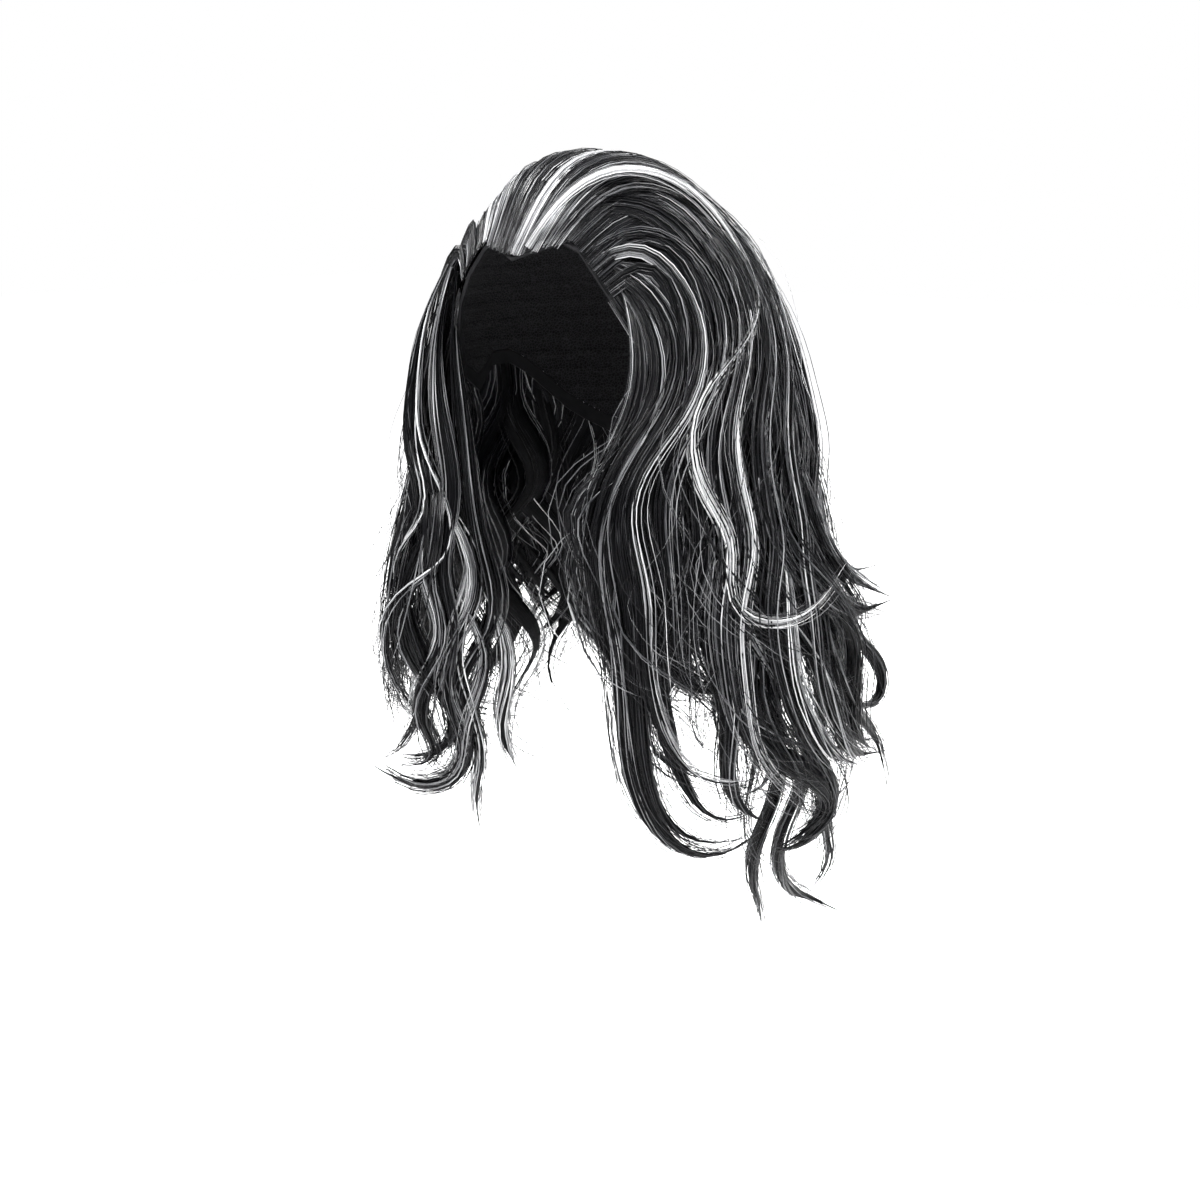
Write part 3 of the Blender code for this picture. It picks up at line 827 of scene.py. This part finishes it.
def strands_on(name, locks, half_width, wander, twist, seed):
    """Fine strands along the locks, as one plain mesh."""
    mesh = bpy.data.meshes.new(name + "_lines")
    edges, first = [], 0
    for lock in locks:
        count = len(lock.points)
        edges += [(first + i, first + i + 1) for i in range(count - 1)]
        first += count
    mesh.from_pydata(np.concatenate([lock.points for lock in locks]).tolist(), edges, [])
    for key in ("across", "outward"):
        joined = np.concatenate([getattr(lock, key) for lock in locks])
        keep_values(mesh, key, joined, "FLOAT_VECTOR")
    for key in ("strands", "streak", "bright", "loose", "slim", "even"):
        held = [np.full(len(lock.points), float(getattr(lock, key))) for lock in locks]
        keep_values(mesh, key, np.concatenate(held))
    numbers = [np.full(len(lock.points), float(i)) for i, lock in enumerate(locks)]
    keep_values(mesh, "lock", np.concatenate(numbers))
    made = placed(name, mesh)
    nodes = made.modifiers.new("strands", "NODES")
    nodes.node_group = STRAND_TREE
    total = sum(lock.strands for lock in locks)
    settings = {
        "Strand Half Width": half_width,
        "Wander": wander,
        "Twist": twist,
        "Cells": int(np.ceil(np.sqrt(total))),
        "Seed": seed,
        "Finish": STRAND_FINISH,
    }
    for item in STRAND_TREE.interface.items_tree:
        if item.in_out == "INPUT" and item.name in settings:
            nodes[item.identifier] = settings[item.name]
    grown = bpy.data.meshes.new_from_object(
        made.evaluated_get(bpy.context.evaluated_depsgraph_get())
    )
    made.modifiers.clear()
    made.data = grown
    grown.name = name
    return made


CORE_SIDES = 9
CORE_SHARE = 0.74
LOBE_HEIGHT = 0.16


def core_rings(lock, number):
    """Rings of the soft body inside a lock, lobed like gathered hair and pointed at its tip."""
    turns = 2 * pi * np.arange(CORE_SIDES) / CORE_SIDES
    lobes = 1 + LOBE_HEIGHT * np.cos(3 * turns[None, :] + 2.2 * lock.share[:, None] + number)
    thin = CORE_SHARE * (1 - 0.92 * smooth(lock.solid - 0.30, lock.solid, lock.share))
    thin = thin * (0.15 + 0.85 * smooth(0.0, 0.09, lock.share))
    keep = lock.share < lock.solid + 0.02
    size = (thin[:, None] * lobes)[..., None]
    ring = np.cos(turns)[None, :, None] * lock.across[:, None, :]
    ring = ring + np.sin(turns)[None, :, None] * lock.outward[:, None, :]
    rings = (lock.points[:, None, :] + size * ring)[keep]
    around = np.broadcast_to(np.stack([np.cos(turns), np.sin(turns)], -1), rings.shape[:2] + (2,))
    down = np.broadcast_to(lock.share[keep, None, None], rings.shape[:2] + (1,))
    return rings, np.concatenate([14 * around + 7 * number, 16 * lock.length * down], -1)


def cores_of(name, locks, curtain_outer, curtain_inner, curtain_grain):
    """The dense curtain of a fall and the bodies of its locks, as one mesh of closed skins."""
    made = skin_between(name, curtain_outer, curtain_inner, COMBED)
    spots = [np.array([v.co for v in made.data.vertices])]
    grains = [curtain_grain.reshape(-1, 3), curtain_grain.reshape(-1, 3)]
    faces = [tuple(p.vertices) for p in made.data.polygons]
    first = len(spots[0])
    for number, lock in enumerate(locks):
        rings, grain = core_rings(lock, number)
        rows = len(rings)
        spots.append(rings.reshape(-1, 3))
        grains.append(grain.reshape(-1, 3))
        for i in range(rows - 1):
            for j in range(CORE_SIDES):
                k = (j + 1) % CORE_SIDES
                a, b = first + i * CORE_SIDES, first + (i + 1) * CORE_SIDES
                faces.append((a + j, a + k, b + k, b + j))
        faces.append(tuple(first + j for j in reversed(range(CORE_SIDES))))
        faces.append(tuple(first + (rows - 1) * CORE_SIDES + j for j in range(CORE_SIDES)))
        first += rows * CORE_SIDES
    mesh = bpy.data.meshes.new(name)
    mesh.from_pydata(np.concatenate(spots).tolist(), [], faces)
    mesh.shade_smooth()
    mesh.materials.append(COMBED)
    made.data = mesh
    keep_values(mesh, "grain", np.concatenate(grains), "FLOAT_VECTOR")
    return made


CURTAIN_COLUMNS = 34
CURTAIN_ROWS = 26
CURTAIN_LAYER = 0.50
CURTAIN_WALL = 0.20
CURTAIN_TUCK = 0.012
CURTAIN_SEED = 40


def curtain_grids(begins, ends, bottom, seed):
    places = np.linspace(begins, ends, CURTAIN_COLUMNS)
    outer, inner, grain = [], [], []
    wave = Wave(swing=0.9)
    for place in places:
        deepest = HAIR_DROP * bottom * (1 + 0.09 * ripple(place * 16, seed))
        depths = np.linspace(EXIT_DEPTH - CURTAIN_TUCK, deepest, CURTAIN_ROWS)
        share = np.linspace(0, 1, CURTAIN_ROWS)
        groove = 0.16 * ripple(place * 30, seed + 1) + 0.10 * ripple(place * 80, seed + 2)
        layer = CURTAIN_LAYER + groove - 0.25 * share**3
        wall = CURTAIN_WALL * (1 - 0.85 * share**2)
        outer.append(fall_spot(place, depths, layer, wave))
        inner.append(fall_spot(place, depths, layer - wall, wave))
        grain.append(np.stack([place * 900 + 0 * share, share * 7, 0 * share], -1))
    return np.stack(outer, 1), np.stack(inner, 1), np.stack(grain, 1)


# Layers of locks on a fall. Columns: name, layer, locks for each unit of the way round, strands on
# a lock, width, thickness, where on the combed line the roots begin, and where the tips end
# between the shallowest and the deepest
LAYERS = (
    ("inner", 0.12, 26, 13, 0.026, 0.010, 0.80, 0.80),
    ("middle", 0.48, 36, 18, 0.022, 0.011, 0.40, 0.75),
    ("outer", 0.78, 38, 32, 0.022, 0.011, 0.00, 0.40),
)


def locks_of_fall(number, row):
    begins, ends, _, shallow, deep, *turns = row[1:]
    draw = np.random.default_rng(700 + number)
    found = []
    for name, layer, density, strands, width, thick, begin, reach in LAYERS:
        count = max(2, round(density * (ends - begins)))
        for i in range(count):
            place = begins + (ends - begins) * (i + 0.5 + draw.uniform(-0.3, 0.3)) / count
            share = np.clip(reach + draw.uniform(-0.4, 0.4), 0, 1.05)
            tip = HAIR_DROP * (shallow + (deep - shallow) * share)
            hook, flip = draw.uniform(*turns[:2]), draw.uniform(*turns[2:])
            if name != "outer":
                hook, flip = 0.5 * hook, 0.4 * flip
            wave = Wave(draw.uniform(0.6, 1.5), draw.uniform(-1.8, 1.8), draw.uniform(0.75, 1.25))
            streak, bright = lightness_of(place, name, draw)
            start = min(0.92, max(0.0, begin + draw.uniform(-0.12, 0.12))) if begin else 0.0
            layer_at = layer + draw.uniform(-0.08, 0.10)
            turned = hook, flip, draw.uniform(-0.12, 0.12)
            points = max(3, round(13 * (1 - start)))
            kind = {"width": width * draw.uniform(0.8, 1.3), "depth": thick, "loose": 0.9}
            kind |= {"strands": strands, "streak": streak, "bright": bright}
            found.append(hanging_lock(place, start, layer_at, tip, wave, turned, points, **kind))
    return found


# Share of each layer's locks that are mostly light
LIGHT_LOCKS = {"inner": 0.30, "middle": 0.30, "outer": 0.24}

# Light streaks of the outer and middle locks. Columns: place round the falls, half width of the
# group, share of light strands, brightness
STREAKS = (
    (0.31, 0.014, 0.65, 0.95),
    (0.365, 0.020, 0.50, 1.0),
    (0.43, 0.020, 0.80, 1.0),
    (0.52, 0.02, 0.40, 0.9),
    (0.66, 0.03, 0.45, 0.9),
    (0.86, 0.02, 0.5, 0.95),
)


def lightness_of(place, layer, draw):
    """Share of light strands on a lock and how bright they are."""
    light = draw.uniform() < LIGHT_LOCKS[layer]
    streak = draw.uniform(0.5, 0.85) if light else draw.uniform(0.0, 0.05)
    bright = draw.uniform(0.6, 1.0)
    for centre, half, share, shine in STREAKS:
        if layer != "inner" and abs(place - centre) < half:
            streak, bright = max(streak, share), max(bright, shine)
    return streak, bright


# Locks that grow straight down from the front edge of the cap beside the face. Columns: azimuth of
# the root, layer, tip as a share of HAIR_DROP, share of light strands
EDGE_LOCKS = (
    (51, 0.30, 0.56, 0.05),
    (55, 0.22, 0.62, 0.10),
    (59, 0.16, 0.56, 0.10),
    (63, 0.12, 0.60, 0.05),
    (67, 0.10, 0.54, 0.10),
    (71, 0.08, 0.60, 0.05),
    (75, 0.06, 0.54, 0.10),
    (80, 0.06, 0.58, 0.05),
)
EDGE_LOCK_WIDTH = 0.013
EDGE_LOCK_DEPTH = 0.007
EDGE_LOCK_STRANDS = 22
EDGE_LOCK_DROP = 0.012


def edge_locks_of(name):
    sides = {"fall_left_temple": 1, "fall_right_temple": -1}
    draw = np.random.default_rng(31)
    found = []
    for azimuth, layer, tip, streak in EDGE_LOCKS if name in sides else ():
        side = sides[name]
        place = max(0.004, (azimuth - FRONT_EDGE_AZIMUTH) / FALLS_SPAN)
        place = place if side > 0 else 1 - place
        wave = Wave(draw.uniform(0.8, 1.1), draw.uniform(-0.3, 0.3), draw.uniform(0.95, 1.1))
        rim = float(rim_depth(azimuth))
        root = head_spot(side * azimuth, polar_of(rim) - ROOT_INSET, HAIR_LAY)
        hook = side * draw.uniform(10, 60)
        begins = max(rim, EXIT_DEPTH) + EDGE_LOCK_DROP
        fall = fall_line(place, layer, tip * HAIR_DROP, wave, hook, 0, begins=begins)
        points = eased(np.concatenate([[root], fall]), 3)
        size = EDGE_LOCK_WIDTH, EDGE_LOCK_DEPTH
        found.append(Lock(points, *size, EDGE_LOCK_STRANDS, streak, 0.7, loose=0.4))
    return found


# The loose locks lie on top and give the hair its shape. Each is given as the line it follows as
# it is seen from the camera, and is then laid on the hair. The lines count across and down from a
# corner inside the view, SIGHT_ZOOM * SIGHT_SIDE steps to the width of the whole view. A line that
# begins above ROOTED_ABOVE grows out of the combed hair.
SIGHT_SIDE = 1200
SIGHT_CORNER = (340, 130)
SIGHT_ZOOM = 3
SIGHT_SPOTS = np.linspace(0.6, 1.3, 700)
ROOTED_ABOVE = 600

# The fall beyond the face opening, and the azimuth of its front edge
FAR_FALL = "fall_right_temple"
FAR_EDGE = -56

# Rows of each fall: layer, width and thickness in millimetres before LOOSE_FULLNESS, strands,
# share of light strands, brightness, then the places across and down along the line
LOOSE_FULLNESS = 1.4
LOOSE_LOCKS = {}
LOOSE_LOCKS["fall_left_temple"] = (
    (0.80, 11, 6, 34, 0.35, 0.75,
     (862, 470), (893, 560), (908, 650), (920, 740), (912, 815), (885, 885), (845, 955),
     (800, 1040), (762, 1120), (738, 1200), (732, 1290), (742, 1390), (758, 1475), (784, 1565),
     (818, 1650), (875, 1705), (950, 1725), (1040, 1712)),
    (0.92, 16, 9, 44, 0.08, 0.8,
     (848, 452), (905, 520), (945, 600), (965, 690), (970, 770), (950, 840), (915, 905),
     (870, 975), (825, 1060), (792, 1150), (777, 1240), (777, 1340), (792, 1430), (817, 1520),
     (836, 1600), (850, 1700), (850, 1840), (865, 1930), (892, 2010), (937, 2095), (997, 2155),
     (1060, 2186), (1130, 2194), (1200, 2165), (1262, 2100)),
    (0.96, 14, 8, 40, 0.25, 0.7,
     (805, 415), (870, 420), (935, 485), (985, 560), (1012, 640), (1012, 720), (990, 800),
     (950, 870), (900, 940), (852, 1010), (814, 1100), (802, 1200), (822, 1290), (850, 1390),
     (862, 1470), (848, 1560), (842, 1640), (857, 1740), (872, 1830), (895, 1930), (935, 2030),
     (1005, 2110), (1072, 2150), (1140, 2160), (1210, 2125)),
    (1.08, 8, 5, 36, 0.68, 1.0,
     (785, 388), (835, 335), (895, 330), (955, 365), (1005, 430), (1052, 520), (1078, 600),
     (1078, 680), (1060, 760), (1020, 850), (962, 920), (905, 985), (862, 1070), (850, 1160),
     (870, 1260), (905, 1350), (915, 1440), (900, 1530), (885, 1610), (905, 1690), (940, 1770),
     (972, 1850), (1015, 1908), (1067, 1955), (1130, 1980), (1200, 1975), (1262, 1940)),
    (0.96, 15, 8, 42, 0.10, 0.7,
     (770, 378), (845, 305), (930, 300), (1000, 345), (1060, 420), (1105, 510), (1128, 600),
     (1120, 690), (1090, 780), (1045, 870), (1005, 950), (968, 1040), (955, 1140), (970, 1240),
     (990, 1340), (993, 1440), (990, 1540), (1015, 1640), (1060, 1720), (1120, 1750)),
    (0.88, 12, 7, 34, 0.30, 0.6,
     (795, 400), (860, 362), (930, 400), (985, 480), (1020, 570), (1040, 660), (1032, 750),
     (1000, 840), (945, 920), (890, 1000), (865, 1090), (880, 1180), (920, 1270), (950, 1370),
     (945, 1470), (925, 1560), (940, 1660), (960, 1760), (990, 1870), (1040, 1990), (1090, 2070),
     (1150, 2095), (1220, 2075), (1280, 2020)),
)
LOOSE_LOCKS["fall_left_side"] = (
    (1.06, 8, 5, 34, 0.75, 1.0,
     (560, 350), (610, 260), (680, 180), (760, 125), (850, 105), (960, 125), (1060, 185),
     (1140, 275), (1205, 385), (1243, 470), (1250, 560), (1218, 640), (1170, 705), (1112, 765),
     (1072, 825), (1050, 890), (1050, 965), (1062, 1040), (1100, 1110), (1155, 1160),
     (1190, 1240), (1180, 1330), (1150, 1400), (1165, 1462), (1240, 1490), (1320, 1485),
     (1400, 1450), (1465, 1375), (1505, 1300)),
    (0.92, 17, 9, 44, 0.05, 0.8,
     (700, 250), (800, 205), (900, 215), (1000, 275), (1075, 380), (1125, 500), (1150, 620),
     (1135, 730), (1095, 830), (1065, 930), (1062, 1030), (1085, 1130), (1105, 1230),
     (1090, 1330), (1055, 1420), (1045, 1510), (1070, 1600), (1120, 1670)),
    (0.98, 14, 8, 40, 0.22, 0.8,
     (740, 200), (860, 165), (980, 200), (1080, 300), (1145, 430), (1178, 560), (1178, 690),
     (1145, 810), (1110, 920), (1108, 1030), (1145, 1130), (1172, 1240), (1160, 1350),
     (1140, 1450), (1150, 1550), (1172, 1650), (1190, 1750), (1215, 1830), (1265, 1890),
     (1335, 1930), (1405, 1948), (1475, 1940)),
    (1.00, 12, 7, 38, 0.34, 1.0,
     (900, 140), (1020, 200), (1120, 320), (1185, 450), (1215, 580), (1210, 710), (1175, 840),
     (1160, 960), (1188, 1080), (1228, 1180), (1240, 1290), (1212, 1390), (1197, 1500),
     (1220, 1600), (1236, 1700), (1232, 1800), (1262, 1890), (1330, 1960), (1395, 2010)),
    (0.98, 14, 8, 38, 0.12, 0.8,
     (960, 150), (1080, 230), (1170, 350), (1235, 480), (1268, 610), (1270, 740), (1245, 870),
     (1240, 990), (1268, 1100), (1300, 1210), (1302, 1320), (1275, 1420), (1280, 1520),
     (1312, 1630), (1340, 1730), (1385, 1815), (1445, 1875), (1520, 1900)),
    (0.95, 11, 6, 32, 0.35, 0.8,
     (1180, 1200), (1210, 1320), (1190, 1440), (1230, 1540), (1300, 1600), (1360, 1680),
     (1390, 1790), (1450, 1860), (1530, 1850)),
    (0.90, 12, 7, 34, 0.08, 0.8,
     (1000, 1000), (1020, 1120), (1060, 1230), (1050, 1340), (1000, 1440), (960, 1530),
     (975, 1620), (1040, 1690), (1120, 1710), (1200, 1680)),
    (0.92, 12, 7, 34, 0.40, 0.85,
     (1110, 1350), (1090, 1460), (1110, 1570), (1160, 1680), (1175, 1790), (1150, 1900),
     (1160, 2000), (1220, 2070), (1290, 2080)),
)
LOOSE_LOCKS["fall_left_back"] = (
    (1.0, 9, 5, 30, 0.7, 1.0,
     (1300, 1180), (1335, 1300), (1345, 1420), (1352, 1560), (1380, 1700), (1430, 1820),
     (1495, 1888), (1565, 1905)),
    (0.97, 14, 8, 36, 0.15, 0.8,
     (1000, 150), (1120, 240), (1215, 370), (1290, 520), (1325, 650), (1340, 780), (1330, 900),
     (1335, 1010), (1365, 1110), (1382, 1210), (1375, 1310), (1402, 1400), (1430, 1490),
     (1425, 1590), (1445, 1690), (1490, 1790), (1550, 1830), (1600, 1825)),
    (1.0, 11, 6, 30, 0.30, 0.8,
     (1060, 180), (1180, 300), (1270, 440), (1335, 580), (1370, 700), (1392, 810), (1425, 920),
     (1422, 1020), (1408, 1120), (1430, 1220), (1480, 1290), (1550, 1338), (1622, 1300)),
    (0.95, 9, 5, 26, 0.25, 0.95,
     (1250, 1060), (1290, 1180), (1330, 1290), (1380, 1370), (1450, 1420), (1530, 1448),
     (1610, 1430), (1665, 1405)),
    (0.95, 9, 5, 26, 0.05, 0.8,
     (1340, 1080), (1390, 1210), (1440, 1340), (1500, 1460), (1575, 1545), (1635, 1605),
     (1663, 1675), (1642, 1722), (1592, 1737), (1535, 1720)),
    (0.95, 8, 5, 24, 0.10, 0.8,
     (1400, 1330), (1450, 1480), (1490, 1620), (1540, 1740), (1600, 1805), (1640, 1885),
     (1650, 1970)),
    (0.92, 15, 8, 40, 0.05, 0.8,
     (1210, 1330), (1190, 1460), (1180, 1600), (1192, 1720), (1232, 1820), (1310, 1885),
     (1400, 1925), (1468, 1972), (1475, 2022), (1430, 2082), (1370, 2130), (1310, 2152)),
    (0.80, 9, 5, 34, 0.12, 0.8,
     (1310, 1500), (1290, 1640), (1310, 1780), (1335, 1900), (1300, 2040), (1245, 2140),
     (1230, 2240), (1262, 2330), (1268, 2410)),
    (0.80, 8, 5, 28, 0.30, 0.8,
     (1360, 1560), (1380, 1700), (1415, 1840), (1390, 1980), (1320, 2090), (1300, 2190),
     (1350, 2280), (1440, 2310), (1530, 2360)),
    (0.85, 9, 5, 24, 0.15, 0.8,
     (1420, 1640), (1440, 1780), (1450, 1900), (1440, 2020), (1460, 2120), (1475, 2200),
     (1450, 2270), (1400, 2290)),
    (1.0, 10, 6, 28, 0.25, 0.8,
     (1330, 900), (1370, 1010), (1400, 1120), (1440, 1230), (1500, 1320), (1580, 1375),
     (1650, 1400)),
    (0.95, 12, 7, 32, 0.20, 0.85,
     (1330, 1150), (1370, 1270), (1430, 1370), (1500, 1440), (1550, 1530), (1545, 1640),
     (1520, 1740), (1550, 1830), (1610, 1860)),
    (0.95, 12, 7, 32, 0.10, 0.8,
     (1290, 1330), (1320, 1450), (1400, 1540), (1460, 1640), (1470, 1750), (1510, 1840),
     (1580, 1880), (1640, 1860)),
    (0.95, 11, 6, 30, 0.20, 0.9,
     (1340, 1000), (1330, 1130), (1350, 1250), (1410, 1330), (1480, 1400), (1560, 1420),
     (1650, 1450)),
    (0.9, 12, 7, 32, 0.10, 0.8,
     (1380, 1500), (1350, 1620), (1360, 1750), (1410, 1850), (1470, 1930), (1480, 2030),
     (1430, 2120), (1350, 2170), (1290, 2150)),
)
LOOSE_LOCKS["fall_right_temple"] = (
    (0.90, 13, 7, 40, 0.18, 0.9,
     (352, 425), (342, 560), (347, 700), (365, 840), (385, 980), (392, 1100), (405, 1200),
     (442, 1300), (476, 1400), (470, 1480), (420, 1550), (370, 1605), (346, 1675), (362, 1755),
     (400, 1820), (434, 1880), (440, 1925)),
    (1.0, 16, 9, 46, 0.32, 0.9,
     (338, 412), (303, 520), (287, 650), (287, 780), (307, 900), (337, 1010), (346, 1120),
     (322, 1220), (292, 1300), (312, 1380), (352, 1440), (366, 1500), (342, 1570), (314, 1650),
     (332, 1750), (370, 1830), (388, 1895), (350, 1948), (280, 1975), (210, 1960), (150, 1930),
     (115, 1888)),
    (1.04, 11, 6, 36, 0.22, 0.9,
     (325, 402), (265, 510), (240, 640), (224, 770), (218, 880), (246, 980), (300, 1060),
     (344, 1150), (350, 1240), (310, 1312), (240, 1342), (165, 1392), (126, 1460), (126, 1560),
     (150, 1640), (192, 1710), (242, 1760)),
    (1.0, 9, 5, 28, 0.40, 0.9,
     (318, 420), (255, 540), (226, 680), (207, 800), (200, 900), (214, 1000), (258, 1080),
     (264, 1160), (202, 1212), (146, 1262), (130, 1330), (160, 1385)),
    (0.95, 14, 8, 38, 0.45, 0.9,
     (300, 1120), (250, 1220), (240, 1320), (290, 1400), (330, 1480), (310, 1570), (250, 1650),
     (215, 1740), (260, 1820), (320, 1850), (300, 1905), (230, 1930), (170, 1905)),
    (0.95, 13, 8, 38, 0.50, 0.9,
     (270, 1000), (310, 1120), (380, 1220), (420, 1320), (400, 1430), (340, 1520), (300, 1620),
     (330, 1720), (390, 1790), (400, 1870), (350, 1920), (270, 1930)),
    (0.98, 11, 6, 32, 0.20, 0.9,
     (240, 900), (240, 1020), (290, 1130), (270, 1240), (200, 1310), (180, 1420), (220, 1520),
     (280, 1600), (270, 1700), (210, 1780), (200, 1870), (150, 1900), (100, 1880)),
    (0.90, 13, 7, 36, 0.35, 0.9,
     (330, 1350), (380, 1440), (440, 1520), (450, 1620), (400, 1700), (370, 1790), (400, 1870),
     (370, 1950), (300, 1985), (220, 1975), (140, 1940), (90, 1900)),
    (0.80, 12, 7, 34, 0.70, 0.95,
     (430, 1380), (480, 1470), (520, 1570), (500, 1670), (470, 1760), (490, 1850), (520, 1900),
     (540, 1930)),
    (1.0, 12, 7, 34, 0.15, 0.8,
     (250, 1330), (190, 1400), (160, 1490), (200, 1590), (280, 1650), (350, 1720), (360, 1810),
     (310, 1880), (230, 1900), (170, 1870)),
    (0.85, 13, 7, 36, 0.65, 0.95,
     (372, 1180), (395, 1290), (380, 1390), (340, 1470), (330, 1560), (345, 1660), (385, 1740),
     (425, 1800), (438, 1870), (400, 1960), (410, 2060), (425, 2120)),
)


# How far the hair stands off the crown, and the head's mean half size there
CROWN_STAND = 0.0245
MEAN_HALF = 0.09


def above_head(points):
    """How far points stand off the head, or off the neck below it."""
    depth = -points[:, 2]
    radius = np.hypot(points[:, 0], points[:, 1])
    azimuth = azimuth_of(points) % 360
    half = np.array([HEAD_HALF_WIDTH, HEAD_HALF_DEPTH, CROWN_RISE])
    swollen = np.linalg.norm((points + [0, 0, CROWN_RISE]) / half, axis=1)
    dome = (swollen - 1) * MEAN_HALF
    low = smooth(0.04, 0.10, depth)
    stand = (1 - low) * CROWN_STAND + low * (outer_radius(azimuth, depth) - girth(azimuth))
    return dome + (radius - girth(azimuth) - dome) * low, stand


def laid_spot(across, down, layer, rooted, far):
    """The spot on the hair that is seen at a place across and down from the camera. On the far
    side of the face opening the hair is met behind its front edge."""
    camera = bpy.context.scene.camera
    right = SIGHT_CORNER[0] + across / SIGHT_ZOOM - SIGHT_SIDE / 2
    up = SIGHT_SIDE / 2 - SIGHT_CORNER[1] - down / SIGHT_ZOOM
    scale = CAMERA_SENSOR / CAMERA_LENS / SIGHT_SIDE
    sight = camera.rotation_euler.to_matrix() @ Vector((right * scale, up * scale, -1))
    points = np.array(camera.location) + SIGHT_SPOTS[:, None] * np.array(sight)
    height, stand = above_head(points)
    past = height - (HAIR_LAY + (layer * stand - HAIR_LAY) * rooted)
    if far:
        edge = FAR_EDGE + through(FRONT_EDGES, 2, -points[:, 2] / HAIR_DROP)
        past = np.where(azimuth_of(points) > edge, 1.0, past)
    inside = np.nonzero(past < 0)[0]
    return points[inside[0] if len(inside) else np.argmin(past)]


def loose_lock(row, far):
    layer, width, depth, strands, streak, bright = row[:6]
    marks = row[6:]
    rooted = marks[0][1] < ROOTED_ABOVE
    laid = []
    for number, (across, down) in enumerate(marks):
        risen = smooth(-0.6, 3.0, number) if rooted else 1.0 - 0.3 * smooth(1.0, 0.0, number / 2)
        laid.append(laid_spot(across, down, layer, risen, far))
    line = evened(held_in(np.array(laid)), LOOSE_PITCH, LOOSE_ROUNDS)
    size = LOOSE_FULLNESS * width / 1000, LOOSE_FULLNESS * depth / 1000
    kind = {"end": 0.55, "loose": 0.55, "even": 0.88, "solid": 1.0}
    return Lock(line, *size, strands, streak, bright, **kind)


# Single stray hairs that stand off the locks
STRAY_GROUPS = 9
STRAYS = 7
STRAY_SPREAD = 0.034


def strays_of(number, row):
    begins, ends, _, shallow, deep = row[1:6]
    draw = np.random.default_rng(900 + number)
    found = []
    for i in range(STRAY_GROUPS):
        place = begins + (ends - begins) * (i + draw.uniform(0.2, 0.8)) / STRAY_GROUPS
        wave = Wave(draw.uniform(0.8, 1.6), draw.uniform(-3, 3), draw.uniform(0.7, 1.2))
        tip = HAIR_DROP * draw.uniform(shallow, deep)
        turned = draw.uniform(-150, 150), draw.uniform(-20, 110)
        kind = {"width": STRAY_SPREAD, "depth": STRAY_SPREAD / 2, "strands": STRAYS}
        kind |= {"streak": 0.25, "bright": 0.8, "end": 1.0, "loose": 1.8, "slim": 0.4}
        begin = draw.uniform(0.3, 0.8)
        found.append(hanging_lock(place, begin, 0.9, tip, wave, turned, 6, **kind))
    return found


STRAND_HALF_WIDTH = 0.00050
STRAND_WANDER = 0.012
STRAND_TWIST = 1.4


def build_fall(number, row):
    name, begins, ends, bottom = row[:4]
    locks = locks_of_fall(number, row) + edge_locks_of(name)
    locks += [loose_lock(line, name == FAR_FALL) for line in LOOSE_LOCKS.get(name, ())]
    curtain = curtain_grids(begins, ends, bottom, CURTAIN_SEED + number)
    body = cores_of(name + "_body", locks, *curtain)
    locks += strays_of(number, row)
    look = STRAND_HALF_WIDTH, STRAND_WANDER, STRAND_TWIST
    strands = strands_on(name + "_strands", locks, *look, 10 * number)
    for piece in (body, strands):
        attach(piece, "root")
        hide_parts(name)


for number, row in enumerate(FALLS):
    build_fall(number, row)
